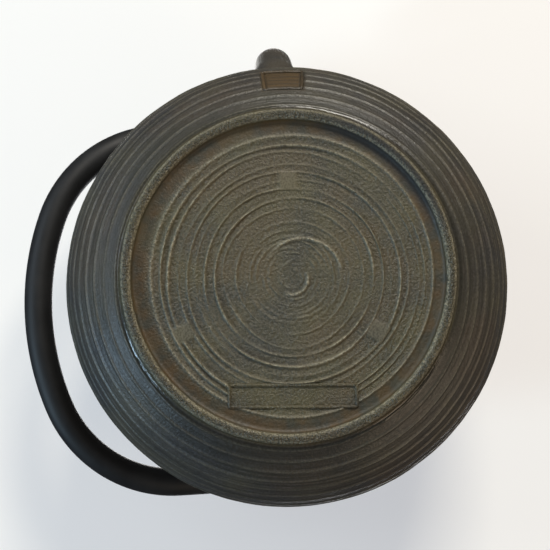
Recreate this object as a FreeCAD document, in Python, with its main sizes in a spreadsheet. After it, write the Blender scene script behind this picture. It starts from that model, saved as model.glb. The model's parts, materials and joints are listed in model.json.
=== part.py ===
"""Cast iron teapot with a folding bail handle, a lid and a lift-out infuser.

Millimetres.  +Z is up, the spout points to +X and the bail lies folded to -Y.
The origin is the centre of the foot ring, in the plane that the pot stands on.
"""
import FreeCAD, Part
import math
import os
import re

import Sketcher

# Driving dimensions
SIZES = {
    # Vessel
    "belly_radius": 79.6,
    "belly_height": 38.8,
    "foot_radius": 57.2,
    "foot_width": 3.7,
    "foot_height": 3.4,
    "foot_recess": 3.0,
    "foot_fillet": 2.0,
    "floor_thickness": 3.6,
    "wall": 3.2,
    "collar_radius": 42.5,
    "rim_height": 79.4,
    "mouth_radius": 36.2,
    "seat_radius": 39.6,
    "seat_depth": 1.6,
    # Thread lines round the wall
    "thread_start": 4.0,
    "thread_pitch": 5.3,
    "thread_width": 1.5,
    "thread_radius": 0.9,
    "thread_cover": 60.0,
    # Spout
    "spout_root_reach": 60.0,
    "spout_root_height": 41.0,
    "spout_root_radius": 15.0,
    "spout_root_tilt": 60.0,
    "spout_neck_reach": 82.0,
    "spout_neck_height": 60.5,
    "spout_neck_radius": 9.8,
    "spout_neck_tilt": 36.0,
    "spout_tip_reach": 91.0,
    "spout_tip_height": 77.0,
    "spout_tip_radius": 7.4,
    "spout_tip_tilt": 8.0,
    "spout_wall": 2.4,
    # Ears
    "ear_height": 79.8,
    "ear_thickness": 5.5,
    "ear_rim": 4.6,
    "ear_foot": 13.0,
    "ear_depth": 12.0,
    "ear_clearance": 0.5,
    # Bail handle
    "bail_height": 96.1,
    "bail_top_radius": 101.1,
    "bail_shoulder_radius": 47.7,
    "bail_half_width": 66.5,
    "bail_clearance": 0.4,
    "tube_radius": 5.2,
    "tube_wall": 1.2,
    "tube_end": 19.0,
    "side_play": 3.9,
    "hook_gap": 0.34,
    "pin_radius": 3.2,
    "pin_lid_gap": 5.0,
    "pin_edge": 1.0,
    "hook_bend": 5.5,
    "taper_length": 9.0,
    "spigot_length": 12.0,
    "spigot_clearance": 0.05,
    # Infuser
    "flange_thickness": 0.8,
    "flange_clearance": 0.4,
    "neck_clearance": 0.7,
    "neck_thickness": 0.6,
    "neck_length": 10.0,
    "mesh_thickness": 0.5,
    "mesh_overlap": 3.0,
    "mesh_clearance": 0.05,
    "cup_depth": 50.0,
    "hoop_thickness": 0.5,
    "hoop_height": 6.0,
    "hoop_lip": 3.0,
    # Lid
    "lid_radius": 42.0,
    "lid_gap": 0.3,
    "lid_clearance": 0.6,
    "lid_edge": 2.2,
    "lid_thickness": 3.2,
    "lid_rise": 8.0,
    "lid_land": 8.0,
    "lid_arc": 150.0,
    "skirt_clearance": 1.2,
    "skirt_thickness": 3.0,
    "skirt_depth": 8.0,
    # Knob and its screw
    "knob_base_radius": 6.4,
    "knob_base_height": 1.6,
    "knob_waist_radius": 4.6,
    "knob_waist_height": 4.0,
    "knob_radius": 9.2,
    "knob_cap_height": 5.0,
    "knob_edge": 1.5,
    "screw_radius": 2.0,
    "screw_clearance": 0.05,
    "screw_reach": 8.0,
    "screw_tip_room": 1.0,
    "screw_head_radius": 3.8,
    "screw_head_height": 2.4,
    "washer_radius": 5.5,
    "washer_thickness": 0.8,
}

# Heights and radii that several pieces share, worked out from the driving dimensions
LOWER_ARC = ("(((belly_radius - foot_radius)^2 + (belly_height - foot_height)^2)"
             " / (2 * (belly_radius - foot_radius)))")
LOWER_CENTRE = f"(belly_radius - {LOWER_ARC})"
UPPER_ARC = "(belly_radius - collar_radius)"
WALL_SWEEP = f"asin((belly_height - foot_height) / {LOWER_ARC})"
BELLY_ALONG = f"({LOWER_ARC} * {WALL_SWEEP} / 1 deg * pi / 180)"
SEAT_HEIGHT = "(rim_height - seat_depth)"
FLANGE_TOP = f"({SEAT_HEIGHT} + flange_thickness)"
NECK_RADIUS = "(mouth_radius - neck_clearance)"
NECK_BORE = f"({NECK_RADIUS} - neck_thickness)"
NECK_BOTTOM = f"({SEAT_HEIGHT} - neck_length)"
MESH_RADIUS = f"({NECK_BORE} - mesh_clearance)"
MESH_BORE = f"({MESH_RADIUS} - mesh_thickness)"
CUP_BOTTOM = f"({SEAT_HEIGHT} - cup_depth)"
LID_TOP = "(rim_height + lid_gap + lid_rise)"
LID_UNDERSIDE = f"({LID_TOP} - lid_thickness)"
SKIRT_RADIUS = f"({NECK_BORE} - skirt_clearance)"
EAR_FACE = "(bail_half_width - hook_bend - side_play)"
EAR_BORE = "(pin_radius + ear_clearance)"
EAR_RADIUS = f"({EAR_BORE} + ear_rim)"
BAIL_SINE = ("((bail_half_width - bail_shoulder_radius)"
             " / (bail_top_radius - bail_shoulder_radius))")
BAIL_COSINE = f"sqrt(1 - {BAIL_SINE}^2)"
BAIL_SHOULDER_HEIGHT = ("(bail_height - bail_top_radius"
                        f" + (bail_top_radius - bail_shoulder_radius) * {BAIL_COSINE})")
BAIL_OFFSET = "(hook_gap - side_play)"

LEFT_TURN = 1
RIGHT_TURN = -1
SAME_PLACE = 0.001

doc = FreeCAD.newDocument("cast_iron_teapot")
sheet = doc.addObject("Spreadsheet::Sheet", "dims")


def add_size(name, size):
    """Give a size its row in the sheet, as a number with an alias."""
    SIZES[name] = size
    row = list(SIZES).index(name) + 1
    sheet.set(f"A{row}", name)
    sheet.set(f"B{row}", str(size))
    sheet.setAlias(f"B{row}", name)


def bound(text):
    """Turn the size names in an expression into references to the sheet."""
    return re.sub(r"[a-z_]+", lambda word: f"dims.{word[0]}" if word[0] in SIZES else word[0], text)


def value(text):
    """Work out an expression of size names now."""
    return float(sheet.evalExpression(bound(text)))


def bail_gap(fold):
    """Least gap between the folded bail's front leg and the wall's thread crests."""
    reach = value(UPPER_ARC) + thread_rise() + value("tube_radius")
    across = value(f"bail_half_width + {BAIL_OFFSET}")
    hinge = value("ear_height - belly_height")
    first = value("tube_end")
    last = value(BAIL_SHOULDER_HEIGHT)
    turn = math.radians(fold)
    steps = 40
    gaps = []
    for step in range(steps + 1):
        along = first + (last - first) * step / steps
        out = math.hypot(across, along * math.sin(turn))
        up = hinge + along * math.cos(turn)
        gaps.append(math.hypot(out - value("collar_radius"), up) - reach)
    return min(gaps)


def bail_rest_angle():
    """Angle from upright at which the folded bail comes to rest on the shoulder, in degrees."""
    level = 90.0
    too_far = 150.0
    while too_far - level > 0.01:
        middle = (level + too_far) / 2
        if bail_gap(middle) > value("bail_clearance"):
            level = middle
        else:
            too_far = middle
    return round(level, 2)


def thread_rise():
    """Height of a thread line's crest above the wall."""
    half = value("thread_width") / 2
    return value("thread_radius") - math.sqrt(value("thread_radius") ** 2 - half ** 2)


def new_body(name):
    body = doc.addObject("PartDesign::Body", name)
    body.Label = name
    return body


def new_sketch(body, name, role, shift=None, tilt=None):
    """A sketch on one of the body's origin planes, moved by expressions and tilted about Y."""
    sketch = body.newObject("Sketcher::SketchObject", name)
    plane = next(part for part in body.Origin.OriginFeatures if part.Role == role)
    sketch.AttachmentSupport = [(plane, "")]
    sketch.MapMode = "FlatFace"
    for axis, text in (shift or {}).items():
        sketch.setExpression(f"AttachmentOffset.Base.{axis}", bound(text))
    if tilt:
        turn = FreeCAD.Rotation(FreeCAD.Vector(0, 1, 0), value(tilt))
        sketch.AttachmentOffset = FreeCAD.Placement(FreeCAD.Vector(), turn)
        sketch.setExpression("AttachmentOffset.Rotation.Angle", bound(tilt))
    return sketch


def dimension(kind, text, *places):
    """A dimension of a sketch, with the expression that it is bound to."""
    return Sketcher.Constraint(kind, *places, value(text)), bound(text)


def place_point(geometry, end, point):
    """The constraints that fix a point of a sketch by its two coordinates."""
    placed = []
    for kind, axis, text in (("DistanceX", -2, point[0]), ("DistanceY", -1, point[1])):
        if text == "0":
            placed.append((Sketcher.Constraint("PointOnObject", geometry, end, axis), None))
        else:
            placed.append(dimension(kind, text, -1, 1, geometry, end))
    return placed


def constrain(sketch, constraints):
    """Add constraints to a sketch, and bind the dimensions among them."""
    indexes = sketch.addConstraint([constraint for constraint, text in constraints])
    for index, (constraint, text) in zip(indexes, constraints):
        if text:
            sketch.setExpression(f"Constraints[{index}]", text)


def arc_between(start, end, radius, side):
    """The short arc from start to end that turns left or right."""
    chord = end - start
    left = FreeCAD.Vector(-chord.y, chord.x, 0).normalize()
    centre = (start + end) / 2 + left * side * math.sqrt(radius ** 2 - (chord.Length / 2) ** 2)
    first, last = (start, end) if side == LEFT_TURN else (end, start)
    angles = [math.atan2(point.y - centre.y, point.x - centre.x) for point in (first, last)]
    circle = Part.Circle(centre, FreeCAD.Vector(0, 0, 1), radius)
    return Part.ArcOfCircle(circle, *angles)


def draw(sketch, points, arcs=None, closed=True):
    """Draw lines and arcs through points given as expressions.

    arcs maps the number of a stretch to its radius and the way that it turns.
    """
    arcs = arcs or {}
    spots = [FreeCAD.Vector(value(x), value(y), 0) for x, y in points]
    count = len(points) if closed else len(points) - 1
    constraints = []
    ends = []
    for number in range(count):
        start = spots[number]
        finish = spots[(number + 1) % len(spots)]
        if number in arcs:
            radius, side = arcs[number]
            geometry = sketch.addGeometry(arc_between(start, finish, value(radius), side), False)
            ends.append((geometry, 1, 2) if side == LEFT_TURN else (geometry, 2, 1))
            constraints.append(dimension("Radius", radius, geometry))
        else:
            geometry = sketch.addGeometry(Part.LineSegment(start, finish), False)
            ends.append((geometry, 1, 2))
    for number, (geometry, first, last) in enumerate(ends):
        constraints += place_point(geometry, first, points[number])
        if number + 1 < len(ends) or closed:
            following, start, finish = ends[(number + 1) % len(ends)]
            constraints.append((Sketcher.Constraint("Coincident", geometry, last, following, start), None))
    if not closed:
        geometry, first, last = ends[-1]
        constraints += place_point(geometry, last, points[-1])
    constrain(sketch, constraints)


def draw_circle(sketch, radius, across="0", up="0"):
    centre = FreeCAD.Vector(value(across), value(up), 0)
    circle = Part.Circle(centre, FreeCAD.Vector(0, 0, 1), value(radius))
    geometry = sketch.addGeometry(circle, False)
    constrain(sketch, place_point(geometry, 3, (across, up)) + [dimension("Radius", radius, geometry)])


def turned(body, name, points, arcs=None, kind="PartDesign::Revolution"):
    """Turn a half section about Z, to add it to the body or to cut it out."""
    sketch = new_sketch(body, f"{name}_section", "XZ_Plane")
    draw(sketch, points, arcs)
    feature = body.newObject(kind, name)
    feature.Profile = sketch
    feature.ReferenceAxis = (sketch, ["V_Axis"])
    feature.Angle = 360
    doc.recompute()
    return feature


def round_edges(body, name, base, radius, chosen):
    """Fillet the edges of the last feature that a test picks out."""
    feature = body.newObject("PartDesign::Fillet", name)
    names = [f"Edge{number}" for number, edge in enumerate(base.Shape.Edges, start=1) if chosen(edge)]
    feature.Base = (base, names)
    feature.setExpression("Radius", bound(radius))
    doc.recompute()
    return feature


def ring_edge(radius, height):
    """A test for the round edge about Z with this radius and height."""
    def chosen(edge):
        if edge.Degenerated or not isinstance(edge.Curve, Part.Circle):
            return False
        centre = FreeCAD.Vector(0, 0, value(height))
        same_size = abs(edge.Curve.Radius - value(radius)) < SAME_PLACE
        return same_size and edge.Curve.Center.isEqual(centre, SAME_PLACE)
    return chosen


def wall_outline():
    """Half section of the vessel's outside, with the thread lines as low ridges on the wall."""
    points = [("0", "foot_recess"), ("foot_radius - foot_width", "foot_recess"),
              ("foot_radius - foot_width", "0"), ("foot_radius", "0"), ("foot_radius", "foot_height")]
    arcs = {}

    def wall_point(along):
        """Point of the wall at a distance along it, measured up from the foot."""
        if value(along) < value(BELLY_ALONG):
            turn = f"({WALL_SWEEP} - ({along}) / {LOWER_ARC} * 180 deg / pi)"
            return (f"{LOWER_CENTRE} + {LOWER_ARC} * cos{turn}", f"belly_height - {LOWER_ARC} * sin{turn}")
        turn = f"((({along}) - {BELLY_ALONG}) / {UPPER_ARC} * 180 deg / pi)"
        return (f"collar_radius + {UPPER_ARC} * cos{turn}", f"belly_height + {UPPER_ARC} * sin{turn}")

    def wall_stretch(point, radius):
        arcs[len(points) - 1] = (radius, LEFT_TURN)
        points.append(point)

    past_belly = False
    last_thread = f"({BELLY_ALONG} + {UPPER_ARC} * thread_cover * pi / 180)"
    rows = int(value(f"({last_thread} - thread_start) / thread_pitch")) + 1
    for row in range(rows):
        low = f"thread_start + {row} * thread_pitch - thread_width / 2"
        high = f"thread_start + {row} * thread_pitch + thread_width / 2"
        if value(low) > value(BELLY_ALONG) and not past_belly:
            wall_stretch(("belly_radius", "belly_height"), LOWER_ARC)
            past_belly = True
        wall_stretch(wall_point(low), UPPER_ARC if past_belly else LOWER_ARC)
        wall_stretch(wall_point(high), "thread_radius")
        past_belly = past_belly or value(high) > value(BELLY_ALONG)
    wall_stretch(("collar_radius", f"belly_height + {UPPER_ARC}"), UPPER_ARC)
    points += [("collar_radius", "rim_height"), ("0", "rim_height")]
    return points, arcs


def lofted(body, name, kind, sections):
    """Loft through round sections whose centres lie in the XZ plane."""
    sketches = []
    for number, (reach, height, radius, tilt) in enumerate(sections):
        sketch = new_sketch(body, f"{name}_{number}", "XY_Plane", {"x": reach, "z": height}, tilt)
        draw_circle(sketch, radius)
        sketches.append(sketch)
    feature = body.newObject(kind, name)
    feature.Profile = sketches[0]
    feature.Sections = sketches[1:]
    doc.recompute()
    return feature


def make_pot():
    """The vessel with its foot ring, spout and ears: one casting."""
    body = new_body("pot_body")
    vessel = turned(body, "vessel", *wall_outline())
    round_edges(body, "foot_corner", vessel, "foot_fillet", ring_edge("foot_radius", "foot_height"))

    spout = [("spout_root_reach", "spout_root_height", "spout_root_radius", "spout_root_tilt"),
             ("spout_neck_reach", "spout_neck_height", "spout_neck_radius", "spout_neck_tilt"),
             ("spout_tip_reach", "spout_tip_height", "spout_tip_radius", "spout_tip_tilt")]
    lofted(body, "spout", "PartDesign::AdditiveLoft", spout)

    ear_sketch = new_sketch(body, "ear_section", "YZ_Plane", {"z": f"{EAR_FACE} - ear_thickness"})
    ear_points = [("-ear_foot", "ear_height - ear_depth"), ("ear_foot", "ear_height - ear_depth"),
                  (EAR_RADIUS, "ear_height"), ("0", f"ear_height + {EAR_RADIUS}"),
                  (f"-{EAR_RADIUS}", "ear_height")]
    draw(ear_sketch, ear_points, {2: (EAR_RADIUS, LEFT_TURN), 3: (EAR_RADIUS, LEFT_TURN)})
    draw_circle(ear_sketch, EAR_BORE, "0", "ear_height")
    ear = body.newObject("PartDesign::Pad", "front_ear")
    ear.Profile = ear_sketch
    ear.setExpression("Length", bound("ear_thickness"))
    ears = body.newObject("PartDesign::Mirrored", "back_ear")
    ears.Originals = [ear]
    ears.MirrorPlane = (next(part for part in body.Origin.OriginFeatures if part.Role == "YZ_Plane"), [""])
    body.Tip = ears
    doc.recompute()

    inner_lower = f"({LOWER_ARC} - wall)"
    inner_upper = f"({UPPER_ARC} - wall)"
    floor = "foot_recess + floor_thickness"
    floor_reach = f"{LOWER_CENTRE} + sqrt({inner_lower}^2 - (belly_height - ({floor}))^2)"
    cavity = [("0", floor), (floor_reach, floor), ("belly_radius - wall", "belly_height"),
              ("collar_radius", f"belly_height + {inner_upper}"),
              ("mouth_radius", f"belly_height + {inner_upper}"), ("mouth_radius", SEAT_HEIGHT),
              ("seat_radius", SEAT_HEIGHT), ("seat_radius", "rim_height + seat_depth"),
              ("0", "rim_height + seat_depth")]
    turned(body, "cavity", cavity, {1: (inner_lower, LEFT_TURN), 2: (inner_upper, LEFT_TURN)},
           "PartDesign::Groove")

    bore = [(reach, height, f"{radius} - spout_wall", tilt) for reach, height, radius, tilt in spout]
    bore[0] = ("spout_root_reach + spout_wall", "spout_root_height + spout_wall",
               "spout_root_radius - 2 * spout_wall", "spout_root_tilt")
    bore.append(("spout_tip_reach", "spout_tip_height + spout_wall", "spout_tip_radius - spout_wall",
                 "spout_tip_tilt"))
    lofted(body, "spout_bore", "PartDesign::SubtractiveLoft", bore)
    return body


def make_lid():
    """Domed lid with a skirt that goes down into the infuser's neck."""
    body = new_body("lid")
    brim = "rim_height + lid_gap"
    skirt_bore = f"({SKIRT_RADIUS} - skirt_thickness)"
    screw_bore = "(screw_radius + screw_clearance)"
    points = [(screw_bore, LID_UNDERSIDE), ("lid_land", LID_UNDERSIDE),
              (skirt_bore, f"{brim} + lid_edge - lid_thickness"), (skirt_bore, f"{FLANGE_TOP} - skirt_depth"),
              (SKIRT_RADIUS, f"{FLANGE_TOP} - skirt_depth"), (SKIRT_RADIUS, FLANGE_TOP),
              ("seat_radius - lid_clearance", FLANGE_TOP), ("seat_radius - lid_clearance", brim),
              ("lid_radius", brim), ("lid_radius", f"{brim} + lid_edge"), ("lid_land", LID_TOP),
              (screw_bore, LID_TOP)]
    turned(body, "dome", points, {1: ("lid_arc", RIGHT_TURN), 9: ("lid_arc", LEFT_TURN)})
    return body


def make_knob():
    """Bud-shaped knob with a blind hole for its screw."""
    body = new_body("lid_knob")
    bulge = "(knob_radius - knob_waist_radius)"
    base = f"({LID_TOP} + knob_base_height)"
    waist = f"({base} + knob_waist_height)"
    widest = f"({waist} + {bulge})"
    hole = "(screw_radius + screw_clearance)"
    hole_top = f"{LID_TOP} + screw_reach + screw_tip_room"
    cap_arc = "(knob_radius^2 + knob_cap_height^2) / (2 * knob_cap_height)"
    points = [(hole, LID_TOP), ("knob_base_radius", LID_TOP), ("knob_base_radius", base),
              ("knob_waist_radius", waist), ("knob_radius", widest), ("0", f"{widest} + knob_cap_height"),
              ("0", hole_top), (hole, hole_top)]
    bud = turned(body, "bud", points, {2: ("knob_waist_height", RIGHT_TURN), 3: (bulge, LEFT_TURN),
                                       4: (cap_arc, LEFT_TURN)})
    round_edges(body, "bud_edge", bud, "knob_edge", ring_edge("knob_radius", widest))
    return body


def make_screw():
    """Pan head screw that comes up through the lid into the knob."""
    body = new_body("knob_screw")
    seat = f"({LID_UNDERSIDE} - washer_thickness)"
    head = f"({seat} - screw_head_height)"
    head_arc = "(screw_head_radius^2 + screw_head_height^2) / (2 * screw_head_height)"
    points = [("0", head), ("screw_head_radius", seat), ("screw_radius", seat),
              ("screw_radius", f"{LID_TOP} + screw_reach"), ("0", f"{LID_TOP} + screw_reach")]
    turned(body, "screw", points, {0: (head_arc, LEFT_TURN)})
    return body


def make_ring(name, inner, outer, bottom, top):
    """A plain ring or, with an inner radius of 0, a disc."""
    body = new_body(name)
    turned(body, f"{name}_ring", [(inner, bottom), (outer, bottom), (outer, top), (inner, top)])
    return body


def make_washer():
    """Flat washer between the screw's head and the lid."""
    return make_ring("knob_washer", "screw_radius + screw_clearance", "washer_radius",
                     f"{LID_UNDERSIDE} - washer_thickness", LID_UNDERSIDE)


def make_infuser():
    """Collar, mesh wall, mesh floor and the hoop that holds them together."""
    collar = new_body("infuser_collar")
    flange_radius = "seat_radius - flange_clearance"
    points = [(NECK_BORE, NECK_BOTTOM), (NECK_RADIUS, NECK_BOTTOM), (NECK_RADIUS, SEAT_HEIGHT),
              (flange_radius, SEAT_HEIGHT), (flange_radius, FLANGE_TOP), (NECK_BORE, FLANGE_TOP)]
    turned(collar, "flange", points)

    floor_top = f"{CUP_BOTTOM} + hoop_thickness + mesh_thickness"
    wall = make_ring("infuser_wall", MESH_BORE, MESH_RADIUS, floor_top, f"{NECK_BOTTOM} + mesh_overlap")
    floor = make_ring("infuser_floor", "0", MESH_RADIUS, f"{CUP_BOTTOM} + hoop_thickness", floor_top)

    hoop = new_body("infuser_hoop")
    hoop_bore = f"({MESH_RADIUS} + mesh_clearance)"
    hoop_radius = f"({hoop_bore} + hoop_thickness)"
    lip = f"({MESH_RADIUS} - hoop_lip)"
    points = [(lip, CUP_BOTTOM), (hoop_radius, CUP_BOTTOM), (hoop_radius, f"{CUP_BOTTOM} + hoop_height"),
              (hoop_bore, f"{CUP_BOTTOM} + hoop_height"), (hoop_bore, f"{CUP_BOTTOM} + hoop_thickness"),
              (lip, f"{CUP_BOTTOM} + hoop_thickness")]
    turned(hoop, "crimp", points)
    return [collar, wall, floor, hoop]


def hang_on_ears(body):
    """Move a piece of the bail from upright at the origin to its rest on the shoulder."""
    turn = FreeCAD.Rotation(FreeCAD.Vector(1, 0, 0), value("bail_fold"))
    body.Placement = FreeCAD.Placement(FreeCAD.Vector(), turn)
    body.setExpression("Placement.Base.x", bound(BAIL_OFFSET))
    body.setExpression("Placement.Base.z", bound("ear_height"))
    body.setExpression("Placement.Rotation.Angle", bound("bail_fold"))
    doc.recompute()


def make_tube():
    """Hollow grip: two legs, two shoulders and a flatter top, drawn upright about the hinge axis."""
    body = new_body("handle_tube")
    path = new_sketch(body, "tube_path", "XZ_Plane")
    top_end = f"bail_top_radius * {BAIL_SINE}"
    top_height = f"bail_height - bail_top_radius + bail_top_radius * {BAIL_COSINE}"
    points = [("-bail_half_width", "tube_end"), ("-bail_half_width", BAIL_SHOULDER_HEIGHT),
              (f"-{top_end}", top_height), (top_end, top_height),
              ("bail_half_width", BAIL_SHOULDER_HEIGHT), ("bail_half_width", "tube_end")]
    arcs = {1: ("bail_shoulder_radius", RIGHT_TURN), 2: ("bail_top_radius", RIGHT_TURN),
            3: ("bail_shoulder_radius", RIGHT_TURN)}
    draw(path, points, arcs, closed=False)
    section = new_sketch(body, "tube_section", "XY_Plane", {"x": "-bail_half_width", "z": "tube_end"})
    draw_circle(section, "tube_radius")
    draw_circle(section, "tube_radius - tube_wall")
    tube = body.newObject("PartDesign::AdditivePipe", "tube")
    tube.Profile = section
    tube.Spine = (path, [f"Edge{number + 1}" for number in range(len(points) - 1)])
    doc.recompute()
    hang_on_ears(body)
    return body


def make_hook(name, side):
    """End fitting of the bail: spigot, taper, bend and the pin through the ear, short of the lid.

    side is "" for the front ear and "-" for the back ear.
    """
    body = new_body(name)
    taper_bottom = "(tube_end - taper_length)"
    pin_end = "(lid_radius + pin_lid_gap)"
    path = new_sketch(body, f"{name}_path", "XZ_Plane")
    points = [(f"{side}bail_half_width", taper_bottom), (f"{side}bail_half_width", "hook_bend"),
              (f"{side}(bail_half_width - hook_bend)", "0"), (f"{side}{pin_end}", "0")]
    draw(path, points, {1: ("hook_bend", LEFT_TURN if side else RIGHT_TURN)}, closed=False)
    section = new_sketch(body, f"{name}_section", "XY_Plane",
                         {"x": f"{side}bail_half_width", "z": taper_bottom})
    draw_circle(section, "pin_radius")
    rod = body.newObject("PartDesign::AdditivePipe", f"{name}_rod")
    rod.Profile = section
    rod.Spine = (path, [f"Edge{number + 1}" for number in range(len(points) - 1)])
    doc.recompute()
    end = value(f"{side}{pin_end}")
    round_edges(body, f"{name}_nose", rod, "pin_edge",
                lambda edge: abs(edge.CenterOfMass.x - end) < SAME_PLACE)

    sizes = {"taper": ("PartDesign::AdditiveCone", taper_bottom,
                       {"Radius1": "pin_radius", "Radius2": "tube_radius", "Height": "taper_length"}),
             "spigot": ("PartDesign::AdditiveCylinder", "tube_end",
                        {"Radius": "tube_radius - tube_wall - spigot_clearance", "Height": "spigot_length"})}
    for part, (kind, height, quantities) in sizes.items():
        feature = body.newObject(kind, f"{name}_{part}")
        feature.AttachmentSupport = section.AttachmentSupport
        feature.MapMode = "FlatFace"
        feature.setExpression("AttachmentOffset.Base.x", bound(f"{side}bail_half_width"))
        feature.setExpression("AttachmentOffset.Base.z", bound(height))
        for quantity, text in quantities.items():
            feature.setExpression(quantity, bound(text))
        doc.recompute()
    hang_on_ears(body)
    return body


def check_document(pieces):
    """Stop if any object failed, or if a piece isn't one sound solid."""
    doc.recompute()
    for part in doc.Objects:
        if "Invalid" in part.State or "Error" in part.State:
            raise RuntimeError(f"{part.Label} failed: {part.State}")
    for piece in pieces:
        shape = piece.Shape
        if shape.isNull() or not shape.isValid() or len(shape.Solids) != 1:
            raise RuntimeError(f"{piece.Label} is not one sound solid")


def main():
    for name, size in list(SIZES.items()):
        add_size(name, size)
    doc.recompute()
    add_size("bail_fold", bail_rest_angle())
    doc.recompute()
    pieces = [make_pot(), make_lid(), make_knob(), make_screw(), make_washer(), *make_infuser(),
              make_tube(), make_hook("handle_hook_front", ""), make_hook("handle_hook_back", "-")]
    check_document(pieces)
    os.makedirs("parts", exist_ok=True)
    for piece in pieces:
        piece.Shape.exportStep(f"parts/{piece.Label}.step")
        print(f"{piece.Label}: {piece.Shape.Volume:.1f} mm3")
    print(f"bail rests {value('bail_fold'):.2f} degrees from upright")


main()
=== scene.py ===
"""Cast iron teapot: cast skin, lacquered bail, lid, infuser and stage, built round its solids."""

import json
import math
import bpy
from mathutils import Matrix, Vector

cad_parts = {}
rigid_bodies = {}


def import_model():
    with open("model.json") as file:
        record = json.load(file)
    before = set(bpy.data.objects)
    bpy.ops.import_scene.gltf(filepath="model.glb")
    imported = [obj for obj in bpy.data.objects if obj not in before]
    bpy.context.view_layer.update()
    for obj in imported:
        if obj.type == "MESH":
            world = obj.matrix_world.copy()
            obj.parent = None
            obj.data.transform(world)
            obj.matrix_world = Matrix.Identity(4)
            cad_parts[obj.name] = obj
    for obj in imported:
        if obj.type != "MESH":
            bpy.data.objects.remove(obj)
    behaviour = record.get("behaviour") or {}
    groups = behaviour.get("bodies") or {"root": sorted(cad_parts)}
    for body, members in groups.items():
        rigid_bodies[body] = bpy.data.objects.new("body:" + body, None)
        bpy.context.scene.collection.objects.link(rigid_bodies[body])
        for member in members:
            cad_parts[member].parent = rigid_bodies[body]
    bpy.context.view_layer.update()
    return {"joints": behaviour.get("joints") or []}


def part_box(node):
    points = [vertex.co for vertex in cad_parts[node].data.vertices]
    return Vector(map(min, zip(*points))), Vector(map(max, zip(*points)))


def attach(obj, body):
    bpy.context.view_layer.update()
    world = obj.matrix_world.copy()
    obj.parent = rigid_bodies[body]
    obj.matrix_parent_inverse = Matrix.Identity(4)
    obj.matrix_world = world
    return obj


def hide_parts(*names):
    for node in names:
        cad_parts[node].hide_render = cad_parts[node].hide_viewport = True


bl_info = {
    "name": "Cast iron teapot",
    "version": (1, 0, 0),
    "blender": (4, 5, 0),
    "location": "3D View > Sidebar > Teapot",
    "description": "Dresses a teapot's solids with a cast iron skin, a lacquered bail, a lid and an infuser",
    "category": "Object",
}

import bmesh
import bpy
import numpy as np
from bpy.props import FloatProperty, FloatVectorProperty, IntProperty, PointerProperty
from bpy.types import Operator, Panel, PropertyGroup
from mathutils import Matrix, Vector, noise

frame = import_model()

TURN = 2 * math.pi
SIDEWAYS = np.array((0.0, 1.0, 0.0))
UPWARDS = np.array((0.0, 0.0, 1.0))
SHARP_ANGLE = math.radians(48)
CORNER_STEPS = 5
SWING = next(joint for joint in frame["joints"] if joint["name"] == "handle_swing")
HINGE_HEIGHT = SWING["pos_m"][2]
FOLD = math.radians(SWING["range_deg"][1] / 2)


# Settings


def length(label, default, text):
    return FloatProperty(name=label, description=text, default=default, unit="LENGTH", precision=5)


def angle(label, degrees, text):
    return FloatProperty(name=label, description=text, default=math.radians(degrees), subtype="ANGLE")


def number(label, default, text):
    return FloatProperty(name=label, description=text, default=default)


def amount(label, default, text):
    return IntProperty(name=label, description=text, default=default, min=1)


def colour(label, default, text):
    return FloatVectorProperty(name=label, description=text, default=default, subtype="COLOR",
                               size=3, min=0.0, max=1.0)


def place(label, default, text):
    return FloatVectorProperty(name=label, description=text, default=default, subtype="TRANSLATION",
                               unit="LENGTH", size=len(default), precision=5)


def direction(label, default, text):
    return FloatVectorProperty(name=label, description=text, default=default, subtype="DIRECTION", size=3)


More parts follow.
